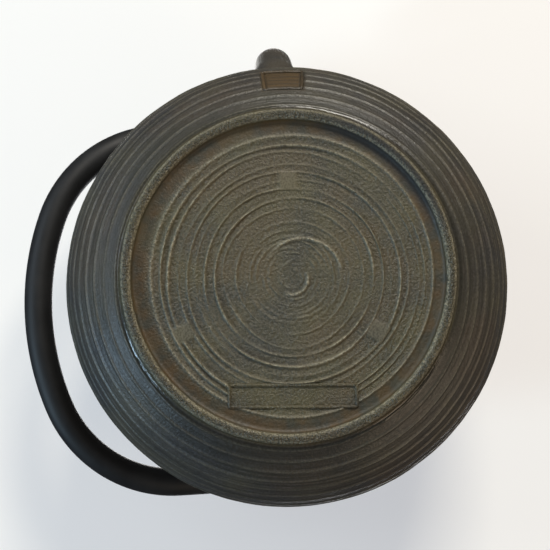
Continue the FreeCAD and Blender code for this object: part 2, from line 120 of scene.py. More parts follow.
class CastingSettings(PropertyGroup):
    """Sizes, relief and colours of the cast vessel with its spout and ears."""

    belly_radius: length("Belly radius", 0.0796, "Radius of the wall where it is widest")
    belly_height: length("Belly height", 0.0388, "Height at which the wall is widest")
    foot_radius: length("Foot radius", 0.0572, "Outer radius of the foot ring")
    foot_width: length("Foot width", 0.0037, "Width of the foot ring's face")
    foot_height: length("Foot height", 0.0034, "Height at which the wall leaves the foot")
    foot_recess: length("Foot recess", 0.003, "Depth of the base inside the foot ring")
    foot_fillet: length("Foot fillet", 0.002, "Hollow between the foot and the wall")
    foot_crown: length("Foot crown", 0.0016, "How far the foot ring's edges fall back from its middle")
    floor_thickness: length("Floor thickness", 0.0036, "Thickness of the iron over the base")
    wall: length("Wall", 0.0032, "Thickness of the wall")
    collar_radius: length("Collar radius", 0.0425, "Outer radius of the upright collar round the mouth")
    rim_height: length("Rim height", 0.0794, "Height of the rim")
    mouth_radius: length("Mouth radius", 0.0362, "Radius of the mouth")
    seat_radius: length("Seat radius", 0.0396, "Radius of the seat that the infuser hangs in")
    seat_depth: length("Seat depth", 0.0016, "Depth of that seat under the rim")
    thread_start: length("First thread", 0.0022, "Distance of the thread's start from the foot")
    thread_pitch: length("Thread pitch", 0.0046, "Rise of the spiral thread line in one turn")
    thread_width: length("Thread width", 0.0013, "Width of the thread line at its root")
    thread_rise: length("Thread rise", 0.0004, "Height of the thread line")
    thread_skew: length("Thread skew", 0.0012, "How far the thread line runs askew to the foot")
    wall_step: length("Wall step", 0.00033, "Distance between rings of the wall's mesh")
    thread_cover: angle("Thread cover", 60, "How far the thread lines go up over the shoulder")
    base_centre: place("Turning centre", (-0.0008, 0.0016), "Centre of the turning lines on the base")
    line_width: length("Turning line width", 0.00044, "Half width of a turning line on the base")
    line_rise: length("Turning line rise", 0.0008, "Height of a turning line on the base")
    pad_size: length("Pad size", 0.0032, "Half width of a smooth pad on the base")
    plate_place: place("Plate place", (-0.0410, -0.0006), "Centre of the bare framed plate on the base")
    plate_turn: angle("Plate turn", 2.6, "How far the plate is turned from the spout's line")
    plate_size: place("Plate size", (0.0074, 0.043), "Size of the bare framed plate on the base")
    seal_place: place("Seal place", (0.0174, 0.0017), "Bare seal's place up the wall and aside")
    seal_size: place("Seal size", (0.0138, 0.0138), "Size of the bare seal under the spout")
    frame_bar: length("Frame bar", 0.0013, "Width of the bars that frame the plate and the seal")
    frame_rise: length("Frame rise", 0.0005, "Height of those bars")
    undulation: length("Undulation", 0.00012, "Slow unevenness of the cast skin")
    grain: length("Grain", 0.00005, "Depth of the sand grain in the mesh")
    spout_wall: length("Spout wall", 0.0024, "Thickness of the spout at its lip")
    spout_fillet: length("Spout fillet", 0.005, "Size of the blend where the spout leaves the wall")
    ear_height: length("Ear height", HINGE_HEIGHT, "Height of the holes in the ears")
    ear_middle: length("Ear middle", 0.05435, "Distance of the ears' middle plane from the axis")
    ear_thickness: length("Ear thickness", 0.0055, "Thickness of an ear")
    ear_radius: length("Ear radius", 0.0083, "Radius of an ear's round top")
    ear_bore: length("Ear bore", 0.0037, "Radius of the hole in an ear")
    ear_spread: number("Ear spread", 0.39, "How fast an ear widens towards the shoulder")
    segments: amount("Segments", 360, "Divisions round the vessel")
    base_step: length("Base step", 0.00024, "Distance between rings of the base's mesh")
    patina: colour("Patina", (0.073, 0.064, 0.029), "Olive patina of the iron")
    patina_brown: colour("Brown patina", (0.078, 0.056, 0.026), "Brown patches in the patina")
    patina_dark: colour("Dark patina", (0.037, 0.036, 0.026), "Patina in the hollows and dark patches")
    # Rubbed iron on the crests, also used there as a painted highlight
    worn_and_highlight: colour("Worn patina", (0.29, 0.265, 0.19), "Iron that shows on the crests")
    base_tint: colour("Base tint", (0.72, 0.705, 0.64), "What the patina is multiplied by on the base")
    # Partly the wall's darker patina, partly a painted cool reflection of the sky
    wall_tone_and_sky_reflection: colour("Wall tint", (0.70, 0.71, 0.98), "What the patina is multiplied by on the wall")
    rust: colour("Rust", (0.076, 0.046, 0.016), "Rust brown inside the foot ring and in the seal")
    # Painted shade: a blue-black patch at one side of the foot ring, standing in for the ring's shadow and a
    # dark reflection
    painted_shade: colour("Stain", (0.014, 0.016, 0.019), "Blue-black stain at one side of the foot ring")
    lining: colour("Lining", (0.018, 0.015, 0.013), "Dark enamel inside")


class BailSettings(PropertyGroup):
    """Sizes and finish of the bail handle."""

    height: length("Height", 0.0961, "Height of the bail's middle line above the hinge")
    top_radius: length("Top radius", 0.1011, "Radius of the flat top bend")
    shoulder_radius: length("Shoulder radius", 0.0477, "Radius of the two shoulder bends")
    half_width: length("Half width", 0.0665, "Distance of a leg from the middle")
    tube_radius: length("Tube radius", 0.0052, "Radius of the hollow grip")
    tube_end: length("Tube end", 0.019, "Height of the tube's ends above the hinge")
    offset: length("Offset", -0.00356, "How far the bail has slid in its ears")
    pin_radius: length("Pin radius", 0.0032, "Radius of the pins in the ears")
    pin_end: length("Pin end", 0.047, "Distance of a pin's end from the middle")
    bend_radius: length("Bend radius", 0.0055, "Radius of the bend between a hook's stem and its pin")
    taper_length: length("Taper length", 0.009, "Length of the taper from the tube to the stem")
    lacquer: colour("Lacquer", (0.0078, 0.0078, 0.0080), "Satin black lacquer")


class LidSettings(PropertyGroup):
    """Sizes of the lid, its knob and their screw."""

    thickness: length("Thickness", 0.0032, "Thickness of the dome")
    edge: length("Edge", 0.0022, "Height of the lid's edge")
    land: length("Land", 0.008, "Radius of the flat under the knob")
    dome_radius: length("Dome radius", 0.15, "Radius of the dome's section")
    skirt_radius: length("Skirt radius", 0.0337, "Outer radius of the skirt")
    skirt_thickness: length("Skirt thickness", 0.003, "Thickness of the skirt")
    register_radius: length("Register radius", 0.039, "Radius of the step that sits in the mouth")
    register_height: length("Register height", 0.0786, "Height of that step's underside")
    brim_height: length("Brim height", 0.0797, "Height of the edge's underside")
    bore: length("Bore", 0.00205, "Radius of the screw's hole")
    thread_pitch: length("Thread pitch", 0.0053, "Distance between the thread lines on the dome")
    knob_base: place("Knob base", (0.0064, 0.0016), "Radius and height of the knob's base")
    knob_waist: place("Knob waist", (0.0046, 0.004), "Radius and height of the knob's waist")
    screw_pitch: length("Screw pitch", 0.0007, "Pitch of the screw's thread")


class InfuserSettings(PropertyGroup):
    """Mesh and finish of the infuser."""

    wire_radius: length("Wire radius", 0.00019, "Radius of a mesh wire")
    weave: length("Weave", 0.00013, "How far a wire swings out of the mesh's middle")
    upright_wires: amount("Upright wires", 128, "Wires round the cup")
    metal: colour("Metal", (0.62, 0.61, 0.59), "Stainless steel")


class StageSettings(PropertyGroup):
    """Camera, lamps and the pale surfaces."""

    camera_place: place("Camera", (-0.04991, -0.01138, -0.47776), "Place of the camera, under the pot")
    camera_ahead: direction("Camera direction", (0.1037, 0.0140, 0.9945), "Where the camera looks")
    camera_up: direction("Camera up", (0.9933, 0.0498, -0.1043), "The way that is up in the picture")
    camera_lens: number("Lens", 93.2, "Focal length of the camera in millimetres")
    table_height: length("Table", 0.1045, "Height of the pale table that the upturned pot would lie on")
    table: colour("Table colour", (0.945, 0.91, 0.80), "Colour of the table in the light")
    table_shade: colour("Table shade", (0.79, 0.81, 0.91), "Colour of the shadows on the table")
    floor: colour("Floor colour", (0.80, 0.795, 0.785), "Colour of the floor that the pot stands on")
    sky: colour("Sky", (0.94, 0.95, 1.0), "Colour of the light from all sides")
    sky_strength: number("Sky strength", 0.11, "Strength of the light from all sides")


GROUPS = {"teapot_casting": CastingSettings, "teapot_bail": BailSettings, "teapot_lid": LidSettings,
          "teapot_infuser": InfuserSettings, "teapot_stage": StageSettings}


# Shapes that several pieces share


def even_turns(count):
    """Angles evenly spread round a circle."""
    return np.arange(count) * TURN / count


def unit(vectors):
    """Vectors made one long."""
    return vectors / np.linalg.norm(vectors, axis=-1)[..., None]


def bend(start, corner, end, share):
    """Points on a curve that heads for a corner and turns off to its end before it."""
    return (1 - share) ** 2 * start + 2 * share * (1 - share) * corner + share ** 2 * end


def arc(centre, radius, start, end, count):
    """Points on an arc of a half section, between two angles in degrees."""
    turns = np.radians(np.linspace(start, end, count))
    return np.column_stack((centre[0] + radius * np.cos(turns), centre[1] + radius * np.sin(turns)))


def level(radii, height):
    """Points of a half section at one height."""
    return np.column_stack((radii, np.full_like(radii, height)))


def softened(corners):
    """An open outline of (radius, height, cut) corners, each rounded from its cut on."""
    points = [np.array(corner[:2]) for corner in corners]
    outline = [points[0]]
    for before, corner, after, (_, _, cut) in zip(points, points[1:], points[2:], corners[1:]):
        start = corner + unit(before - corner) * cut
        end = corner + unit(after - corner) * cut
        outline += [bend(start, corner, end, share) for share in np.linspace(0, 1, CORNER_STEPS)]
    return np.array(outline + [points[-1]])


def softened_loop(corners):
    """The same for a closed outline."""
    return softened([corners[-1], *corners, corners[0]])[1:-1]


def turned(section, segments):
    """Rings of points from a half section turned about Z."""
    turns = even_turns(segments)
    section = np.asarray(section)
    return np.stack((section[:, :1] * np.cos(turns), section[:, :1] * np.sin(turns),
                     np.repeat(section[:, 1:], segments, axis=1)), axis=-1)


def swept(path, radii, sides):
    """Rings of points round a path that lies in an upright plane along X."""
    across = np.cross(unit(np.gradient(path, axis=0)), SIDEWAYS)
    turns = even_turns(sides)
    radii = np.broadcast_to(radii, len(path))[:, None, None]
    spread = np.cos(turns)[:, None] * SIDEWAYS + np.sin(turns)[:, None] * across[:, None, :]
    return path[:, None, :] + radii * spread


def ring_mesh(name, rings, ends="poles"):
    """A mesh of rings of points, closed by a point at each end or joined into a loop."""
    count, around = rings.shape[:2]
    here = np.arange(count * around).reshape(count, around)
    beside = np.roll(here, -1, axis=1)
    points = rings.reshape(-1, 3)
    if ends == "loop":
        quads = np.stack((here, beside, np.roll(beside, -1, axis=0), np.roll(here, -1, axis=0)), axis=-1)
        faces = quads.reshape(-1, 4).tolist()
    else:
        quads = np.stack((here[:-1], beside[:-1], beside[1:], here[1:]), axis=-1)
        faces = quads.reshape(-1, 4).tolist()
        first = len(points)
        last = first + 1
        points = np.vstack((points, rings[0].mean(axis=0), rings[-1].mean(axis=0)))
        faces += [(first, b, a) for a, b in zip(here[0].tolist(), beside[0].tolist())]
        faces += [(last, a, b) for a, b in zip(here[-1].tolist(), beside[-1].tolist())]
    mesh = bpy.data.meshes.new(name)
    mesh.from_pydata(points.tolist(), [], faces)
    face_outwards(mesh)
    return mesh


def face_outwards(mesh):
    """Turn a closed mesh's faces outwards."""
    edit = bmesh.new()
    edit.from_mesh(mesh)
    if edit.calc_volume(signed=True) < 0:
        bmesh.ops.reverse_faces(edit, faces=edit.faces)
        edit.to_mesh(mesh)
    edit.free()


def joined(name, meshes):
    """One mesh of several."""
    edit = bmesh.new()
    for mesh in meshes:
        edit.from_mesh(mesh)
        bpy.data.meshes.remove(mesh)
    mesh = bpy.data.meshes.new(name)
    edit.to_mesh(mesh)
    edit.free()
    return mesh


def combined(mesh, tool_mesh, operation):
    """A closed mesh with another joined to it or cut out of it."""
    scene_objects = bpy.context.scene.collection.objects
    target = bpy.data.objects.new("target", mesh)
    tool = bpy.data.objects.new("tool", tool_mesh)
    scene_objects.link(target)
    scene_objects.link(tool)
    modifier = target.modifiers.new("combine", "BOOLEAN")
    modifier.object = tool
    modifier.operation = operation
    modifier.solver = "MANIFOLD"
    result = bpy.data.meshes.new_from_object(target.evaluated_get(bpy.context.evaluated_depsgraph_get()))
    bpy.data.objects.remove(target)
    bpy.data.objects.remove(tool)
    bpy.data.meshes.remove(tool_mesh)
    bpy.data.meshes.remove(mesh)
    return result


def store(mesh, name, values):
    """Keep a value for each of a mesh's first points, and 0 for the rest, for its material to read."""
    rest = np.zeros(len(mesh.vertices) - values.size)
    mesh.attributes.new(name, "FLOAT", "POINT").data.foreach_set("value", np.append(values.ravel(), rest))


def add_piece(name, mesh, materials, body, node):
    """Show a mesh in place of a CAD node."""
    mesh.name = name
    mesh.materials.clear()
    for material in materials:
        mesh.materials.append(material)
    mesh.polygons.foreach_set("use_smooth", [True] * len(mesh.polygons))
    mesh.set_sharp_from_angle(angle=SHARP_ANGLE)
    piece = bpy.data.objects.new(name, mesh)
    bpy.context.scene.collection.objects.link(piece)
    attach(piece, body)
    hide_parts(node)


def noise_at(points, spacing, octaves=2):
    """Noise between about -1 and 1 at points, with bumps about this far apart."""
    scaled_points = (points.reshape(-1, 3) / spacing).tolist()
    values = [noise.fractal(point, 1.0, 2.0, octaves) for point in scaled_points]
    return np.array(values).reshape(points.shape[:-1])


WAVE_SPACING = 0.011
KNOB_WAVE_SPACING = 0.006
GRAIN_SPACING = 0.0011


def cast_skin(casting, points, spacing=WAVE_SPACING, share=1.0):
    """Rise of the cast skin at points: slow unevenness and sand grain."""
    waves = share * casting.undulation * noise_at(points, spacing)
    return waves + casting.grain * noise_at(points, GRAIN_SPACING)


def waver(draw, turns, waves):
    """A closed uneven line round the axis, about -1 to 1."""
    line = np.zeros_like(turns)
    for wave in range(1, waves + 1):
        line += draw.normal() * np.cos(wave * turns + draw.uniform(0, TURN))
    return line / math.sqrt(waves)


def bell(distance, half_width):
    """1 at no distance, falling off to both sides."""
    return np.exp(-(distance / half_width) ** 2)


def step(low, high, values):
    """A smooth step from 0 at low to 1 at high."""
    share = np.clip((values - low) / (high - low), 0, 1)
    return share * share * (3 - 2 * share)


def inside_box(across, along, half_across, half_along, edge):
    """1 inside a rectangle, 0 outside, with a soft edge."""
    return (1 - step(half_across - edge, half_across + edge, np.abs(across))) * (
        1 - step(half_along - edge, half_along + edge, np.abs(along)))


# Materials

# Sockets of the colour mixing node, which has several of each name
MIX_SHARE, MIX_FIRST, MIX_SECOND, MIX_RESULT = 0, 6, 7, 2


class Finish:
    """A material in the making; a value may be a number, a colour or another node's output."""

    def __init__(self, name):
        self.material = bpy.data.materials.new(name)
        self.material.use_nodes = True
        self.tree = self.material.node_tree
        self.skin = self.tree.nodes["Principled BSDF"]

    def connect(self, socket, value):
        if isinstance(value, bpy.types.NodeSocket):
            self.tree.links.new(value, socket)
        else:
            socket.default_value = value

    def feed(self, node, inputs):
        for name, value in inputs.items():
            self.connect(node.inputs[name], value)

    def add(self, kind, inputs=None, **settings):
        node = self.tree.nodes.new(kind)
        for setting, value in settings.items():
            setattr(node, setting, value)
        self.feed(node, inputs or {})
        return node

    def stored(self, name):
        """A value kept on the mesh."""
        return self.add("ShaderNodeAttribute", attribute_name=name).outputs["Fac"]

    def spot(self):
        """Points in the piece's own space."""
        return self.add("ShaderNodeTexCoord").outputs["Object"]

    def axes(self):
        """X, Y and Z in the piece's own space."""
        split = self.add("ShaderNodeSeparateXYZ", {"Vector": self.spot()})
        return [split.outputs[axis] for axis in "XYZ"]

    def noise(self, scale, detail=3.0, roughness=0.55, stretch=None):
        """Noise in the piece's own space, finer along an axis that is stretched."""
        spot = self.spot()
        if stretch:
            spot = self.add("ShaderNodeMapping", {"Vector": spot, "Scale": stretch}).outputs["Vector"]
        return self.add("ShaderNodeTexNoise", {"Vector": spot, "Scale": scale, "Detail": detail,
                                               "Roughness": roughness}).outputs["Fac"]

    def ramp(self, value, low, high, to_low=0.0, to_high=1.0):
        """A value stretched from one range to another and held at its ends."""
        return self.add("ShaderNodeMapRange", {"Value": value, "From Min": low, "From Max": high,
                                               "To Min": to_low, "To Max": to_high}).outputs["Result"]

    def mix(self, share, first, second, blend="MIX"):
        """Two colours mixed by a share."""
        node = self.add("ShaderNodeMix", data_type="RGBA", blend_type=blend)
        for socket, value in ((MIX_SHARE, share), (MIX_FIRST, first), (MIX_SECOND, second)):
            self.connect(node.inputs[socket], value)
        return node.outputs[MIX_RESULT]

    def maths(self, operation, *values):
        node = self.add("ShaderNodeMath", operation=operation)
        for socket, value in zip(node.inputs, values):
            self.connect(socket, value)
        return node.outputs["Value"]

    def chain(self, operation, result, *values):
        for value in values:
            result = self.maths(operation, result, value)
        return result

    def total(self, *values):
        return self.chain("ADD", *values)

    def product(self, *values):
        return self.chain("MULTIPLY", *values)

    def largest(self, *values):
        return self.chain("MAXIMUM", *values)

    def less(self, value, taken):
        return self.maths("SUBTRACT", value, taken)

    def bump(self, height, distance, strength, under=None):
        """The skin's direction with bumps, over other bumps if there are any."""
        inputs = {"Height": height, "Distance": distance, "Strength": strength}
        if under is not None:
            inputs["Normal"] = under
        return self.add("ShaderNodeBump", inputs).outputs["Normal"]

    def dress(self, inputs):
        """Give the skin its colour, gloss and bumps."""
        self.feed(self.skin, inputs)
        return self.material


def opaque(rgb, share=1.0):
    """A colour for a socket, made darker or brighter by a share."""
    return (*(share * part for part in rgb), 1.0)


# Heights over the foot's face between which one finish of the casting passes into another
WALL_HEIGHTS = (0.004, 0.006)
FOOT_HEIGHTS = (0.0024, 0.0012)
CORNER_HEIGHTS = (0.001, 0.0024)
HOLLOW_HEIGHTS = (0.0056, 0.0046)
# How far the seal's finish goes, as a share of its size, and the way in which the painted shade at one side
# of the foot ring lies
SEAL_REACH = 0.55
SEAL_SIDE = (0.05, 0.06)
SHADE_WAY = (0.72, 0.69)
SHADE_SPREAD = (0.82, 0.94)


def iron_places(iron, sizes):
    """Shares of the casting's places: wall, foot, corner inside it, seal, painted shade at one side of the
    foot ring, and hollow outside it.
    """
    x, y, z = iron.axes()
    reach = iron.maths("SQRT", iron.total(iron.product(x, x), iron.product(y, y)))
    outside = sizes.foot_radius
    inside = outside - sizes.foot_width
    wall = iron.largest(iron.ramp(z, *WALL_HEIGHTS), iron.ramp(reach, outside - 0.0002, outside + 0.0012))
    foot = iron.product(iron.ramp(reach, inside, inside + 0.0004),
                        iron.ramp(reach, outside + 0.0003, outside), iron.ramp(z, *FOOT_HEIGHTS))
    corner = iron.product(iron.ramp(reach, inside - 0.0062, inside - 0.0036),
                          iron.ramp(reach, inside + 0.0004, inside), iron.ramp(z, *CORNER_HEIGHTS))
    shape = VesselShape(sizes)
    low, high = (shape.wall(sizes.seal_place[0] + part * sizes.seal_size[0])[1]
                 for part in (-SEAL_REACH, SEAL_REACH))
    aside = iron.maths("ABSOLUTE", iron.less(y, sizes.seal_place[1]))
    half = SEAL_REACH * sizes.seal_size[1]
    seal = iron.product(iron.ramp(aside, half + 0.0005, half - 0.0005), iron.ramp(x, *SEAL_SIDE),
                        iron.ramp(z, low - 0.0005, low + 0.0015), iron.ramp(z, high + 0.0004, high - 0.0004))
    # Painted shade at one side, over the foot ring and just inside it
    towards = iron.total(iron.product(x, SHADE_WAY[0]), iron.product(y, SHADE_WAY[1]))
    painted_shade = iron.product(iron.ramp(iron.maths("DIVIDE", towards, reach), *SHADE_SPREAD),
                         iron.ramp(reach, inside - 0.0036, inside - 0.0016),
                         iron.ramp(reach, outside - 0.0006, outside - 0.0016))
    hollow = iron.product(iron.ramp(reach, outside - 0.0001, outside + 0.0002),
                          iron.ramp(reach, outside + 0.0026, outside + 0.0014),
                          iron.ramp(z, *HOLLOW_HEIGHTS))
    return wall, foot, corner, seal, painted_shade, hollow


# How fine the drawn streaks of the wall are, across and along
STREAKS_ACROSS = 1100.0
STREAKS_ALONG = 28.0


def iron_material(sizes):
    """Sand-cast iron: patchy olive and brown patina, a grainy foot, rusty corners, a blue-black painted
    shade at one side of the foot ring, a wall tint that is partly a painted cool reflection, and crests
    lightened as rubbed iron and partly as painted highlight.
    """
    iron = Finish("cast iron")
    wall, foot, corner, seal, painted_shade, hollow = iron_places(iron, sizes)
    crest, smooth, along = (iron.stored(name) for name in ("crest", "smooth", "along"))
    rough = iron.less(1.0, smooth)
    dark = opaque(sizes.patina_dark)
    worn_and_glint = opaque(sizes.worn_and_highlight)
    pebbles = iron.noise(1500, 1)
    x, y, _ = iron.axes()
    drawn = iron.add("ShaderNodeCombineXYZ", {
        "X": iron.product(along, STREAKS_ACROSS), "Y": iron.product(x, STREAKS_ALONG),
        "Z": iron.product(y, STREAKS_ALONG)}).outputs["Vector"]
    streaks = iron.add("ShaderNodeTexNoise", {"Vector": drawn, "Scale": 1.0, "Detail": 2.0}).outputs["Fac"]
    on_wall = iron.ramp(wall, 0.5, 1.0)

    # Colour, from the patina up to the crests, which are lightened as rubbed iron and partly as painted
    # highlight
    shade = iron.mix(iron.ramp(iron.noise(55, 4), 0.36, 0.62), dark, opaque(sizes.patina))
    shade = iron.mix(iron.ramp(iron.noise(40), 0.48, 0.64, 0.0, 0.7), shade, opaque(sizes.patina_brown))
    speckle = iron.product(rough, iron.ramp(iron.noise(1300, 2), 0.38, 0.7, 0.0, 0.2))
    shade = iron.mix(speckle, shade, worn_and_glint)
    rust = iron.mix(iron.ramp(iron.noise(160, 4), 0.36, 0.58), dark, opaque(sizes.rust))
    rusty_corner = iron.product(corner, iron.ramp(iron.noise(70), 0.36, 0.6, 0.55, 0.95))
    shade = iron.mix(iron.largest(iron.product(seal, 0.9), rusty_corner), shade, rust)
    # Painted shade: a blue-black patch at one side of the foot ring, standing in for the ring's shadow and a
    # dark reflection
    shade = iron.mix(iron.product(painted_shade, 0.85), shade, opaque(sizes.painted_shade))
    shade = iron.mix(iron.less(1.0, wall), shade, opaque(sizes.base_tint), "MULTIPLY")
    # The wall's tint: partly its darker patina, partly a painted cool reflection of the sky
    shade = iron.mix(wall, shade, opaque(sizes.wall_tone_and_sky_reflection), "MULTIPLY")
    shade = iron.mix(iron.product(seal, 0.8), shade, opaque(sizes.rust, 1.15))
    near_foot = iron.product(iron.ramp(along, 0.0002, 0.0010), iron.ramp(along, 0.004, 0.014, 0.5, 0.0))
    shade = iron.mix(near_foot, shade, opaque(sizes.patina_dark, 0.4))
    streaky = iron.product(on_wall, iron.ramp(streaks, 0.38, 0.64, 0.65, 0.0))
    shade = iron.mix(streaky, shade, opaque(sizes.patina_dark, 0.45))
    pitted = iron.product(foot, iron.ramp(pebbles, 0.42, 0.54, 0.55, 0.0))
    shade = iron.mix(pitted, shade, opaque(sizes.patina_dark, 0.5))
    # Crests lightened towards rubbed iron: partly wear, partly painted highlight, broken up by the pebbles
    sparkle = iron.product(crest, iron.ramp(pebbles, 0.38, 0.58, 0.25, 1.0))
    shade = iron.mix(sparkle, shade, worn_and_glint)

    # Bumps, from coarse sand to the wall's streaks
    calm = iron.less(iron.ramp(wall, 0.0, 1.0, 0.8, 0.26), iron.product(corner, 0.5))
    grain = iron.product(rough, iron.total(calm, iron.product(foot, 0.2)),
                         iron.less(1.0, iron.product(hollow, 0.6)))
    bumps = iron.bump(iron.noise(1050, 2, 0.6), 0.0008, grain)
    bumps = iron.bump(pebbles, 0.0009, iron.product(foot, 0.7), bumps)
    bumps = iron.bump(iron.noise(2600, 2, 0.6), 0.0003, grain, bumps)
    bumps = iron.bump(streaks, 0.0004, iron.product(on_wall, 0.55), bumps)

    # Gloss
    uneven = iron.ramp(iron.noise(900), 0.3, 0.7, 0.30, 0.46)
    polish = iron.largest(iron.product(foot, 0.5), crest, iron.product(hollow, 2.6))
    matt = iron.largest(iron.product(wall, 0.08), iron.product(painted_shade, 0.3), iron.product(smooth, 0.2),
                        iron.product(corner, 0.16))
    gloss = iron.less(iron.product(polish, 0.1), matt)
    return iron.dress({"Base Color": shade, "Normal": bumps, "Specular IOR Level": 0.45,
                       "Roughness": iron.less(uneven, gloss)})


def lining_material(sizes):
    """Dark enamel that lines the vessel and the spout."""
    enamel = Finish("enamel lining")
    patches = enamel.noise(140)
    return enamel.dress({
        "Base Color": enamel.mix(patches, opaque(sizes.lining, 0.6), opaque(sizes.lining)),
        "Roughness": enamel.ramp(patches, 0.3, 0.7, 0.26, 0.36), "Coat Weight": 0.4,
        "Normal": enamel.bump(enamel.noise(500), 0.0002, 0.2)})


def lacquer_material(lacquer):
    """Satin black lacquer on steel, with a little orange peel."""
    black = Finish("black lacquer")
    clouds = black.noise(120)
    return black.dress({
        "Base Color": black.mix(black.ramp(clouds, 0.35, 0.7), opaque(lacquer), opaque(lacquer, 1.5)),
        "Roughness": black.ramp(clouds, 0.3, 0.7, 0.50, 0.60), "Specular IOR Level": 0.3,
        "Normal": black.bump(black.noise(900, 2), 0.0001, 0.16)})


def steel_material(metal, name, stretch):
    """Spun or drawn stainless steel, with fine lines square to the stretched axis."""
    steel = Finish(name)
    lines = steel.noise(30, 2, 0.5, stretch)
    return steel.dress({
        "Base Color": steel.mix(steel.ramp(lines, 0.35, 0.65), opaque(metal, 0.8), opaque(metal)),
        "Metallic": 1.0, "Roughness": steel.ramp(lines, 0.3, 0.7, 0.24, 0.38),
        "Normal": steel.bump(lines, 0.00005, 0.15)})


# The vessel


class VesselShape:
    """The plain wall of the vessel: an arc up to the belly and a second over the shoulder."""

    def __init__(self, sizes):
        self.sizes = sizes
        self.foot_inside = sizes.foot_radius - sizes.foot_width
        out = sizes.belly_radius - sizes.foot_radius
        up = sizes.belly_height - sizes.foot_height
        self.lower = (out ** 2 + up ** 2) / (2 * out)
        self.upper = sizes.belly_radius - sizes.collar_radius
        self.sweep = math.asin(up / self.lower)
        self.belly_along = self.lower * self.sweep
        self.last_thread = self.belly_along + self.upper * sizes.thread_cover
        self.end_along = self.belly_along + self.upper * math.pi / 2

    def wall(self, along):
        """Radius, height and outward direction of the wall at distances along it from the foot."""
        along = np.asarray(along)
        below = along < self.belly_along
        turn = np.where(below, along / self.lower - self.sweep, (along - self.belly_along) / self.upper)
        size = np.where(below, self.lower, self.upper)
        radius = self.sizes.belly_radius - size + size * np.cos(turn)
        return radius, self.sizes.belly_height + size * np.sin(turn), np.cos(turn), np.sin(turn)

    def clearance(self, points):
        """How far points are outside the wall, and the wall's outward direction there."""
        reach = np.hypot(points[..., 0], points[..., 1])
        up = points[..., 2] - self.sizes.belly_height
        size = np.where(up < 0, self.lower, self.upper)
        across = reach - (self.sizes.belly_radius - size)
        distance = np.hypot(across, up)
        outward = np.stack((across * points[..., 0] / reach, across * points[..., 1] / reach, up), axis=-1)
        return distance - size, outward / distance[..., None]

    def sunk(self, points, depth):
        """Points moved to this depth under the wall's surface."""
        gap, outward = self.clearance(points)
        return points - (gap + depth)[..., None] * outward


# Radius and strength of each turning line on the base; one of strength 0 only takes its random draws
TURNING_LINES = ((0.0515, 0.0), (0.0488, 0.0), (0.0450, 1.0), (0.0427, 1.1), (0.0387, 0.7), (0.0363, 1.2),
                 (0.0335, 0.3), (0.0306, 1.1), (0.0270, 1.2), (0.0238, 0.6), (0.0192, 0.5), (0.0160, 0.3),
                 (0.0141, 0.4), (0.0125, 0.4), (0.0100, 0.3), (0.0080, 0.35))
# Centre, radius, middle and half of the span in degrees, and strength of the lines with other centres
PARTIAL_LINES = (((0.0, 0.0008), 0.0481, 0, 720, 0.6), ((-0.0008, 0.0031), 0.0138, 15, 80, 0.9),
                 ((-0.0006, -0.0006), 0.0055, 140, 80, 0.95))
LINE_WANDER = 0.00042
BEAD_SPACING = 0.0013
SPIRAL_START = 0.0022
SPIRAL_GROWTH = 0.0031
PAD_PLACES = ((0.0323, 0.0014), (-0.0181, -0.0364), (-0.0207, 0.0292))
PAD_RISE = 0.0003
PAD_EDGE = 0.0004
PLATE_SINK = 0.00012
PLATE_EDGE = 0.0006
SEAL_SINK = 0.0003
SEAL_EDGE = 0.0005
THREAD_WANDER = 0.00012
THREAD_FADE = 0.004
THREAD_SHARE = 0.36
FOOT_EDGE = 0.0005
BASE_SEED = 7
WALL_SEED = 11
# The lining's place among the casting's materials, and how much of the cast skin shows in it
LINING = 1
LINING_SKIN = 0.4


def foot_fillet(shape):
    """The hollow between the foot and the wall, and where along the wall it ends."""
    sizes = shape.sizes
    fillet = sizes.foot_fillet
    centre_radius = sizes.foot_radius + fillet
    arc_centre = sizes.belly_radius - shape.lower
    drop = math.sqrt((shape.lower + fillet) ** 2 - (centre_radius - arc_centre) ** 2)
    centre = (centre_radius, sizes.belly_height - drop)
    leaving = math.atan2(drop, centre_radius - arc_centre)
    end = 180 - math.degrees(leaving)
    return arc(centre, fillet, 180, end, 8), shape.lower * (shape.sweep - leaving)


def foot_section(shape):
    """Half section from the middle of the base to the outer edge of the foot ring, base and foot apart."""
    sizes = shape.sizes
    inside = shape.foot_inside
    base = level(np.arange(sizes.base_step, inside - 0.0022, sizes.base_step), sizes.foot_recess)
    corner = softened([(inside - 0.0021, sizes.foot_recess, 0), (inside - 0.0003, sizes.foot_recess, 0.0013),
                       (inside, sizes.foot_crown, 0)])
    across = np.linspace(-1, 1, 15)
    crown = np.column_stack((inside + sizes.foot_width * (across + 1) / 2,
                             sizes.foot_crown * np.abs(across) ** 2.5))
    return base, np.vstack((corner[:-1], crown))


def inner_section(shape):
    """Half sections of the rim with the infuser's seat, and of the lining from the mouth to the floor."""
    sizes = shape.sizes
    collar, mouth, seat, rim = sizes.collar_radius, sizes.mouth_radius, sizes.seat_radius, sizes.rim_height
    top = sizes.belly_height + shape.upper
    under = top - sizes.wall
    edge = softened([(collar + 0.0011, top, 0), (collar, top, 0.0009), (collar, rim, 0.0007),
                     (seat, rim, 0.0005), (seat, rim - sizes.seat_depth, 0.0003),
                     (mouth, rim - sizes.seat_depth, 0.0006), (mouth, under + 0.001, 0)])
    low_centre = sizes.belly_radius - shape.lower
    low_radius = shape.lower - sizes.wall
    floor = sizes.foot_recess + sizes.floor_thickness
    floor_turn = -math.degrees(math.asin((sizes.belly_height - floor) / low_radius))
    floor_edge = low_centre + low_radius * math.cos(math.radians(floor_turn)) - 0.0015
    lining = np.vstack((
        softened([(mouth, under + 0.0008, 0), (mouth, under, 0.0006), (collar, under, 0)]),
        arc((collar, sizes.belly_height), shape.upper - sizes.wall, 88, 0, 24),
        arc((low_centre, sizes.belly_height), low_radius, -2, floor_turn + 1.5, 22),
        level(np.linspace(floor_edge, 0.002, 12), floor)))
    return edge, lining


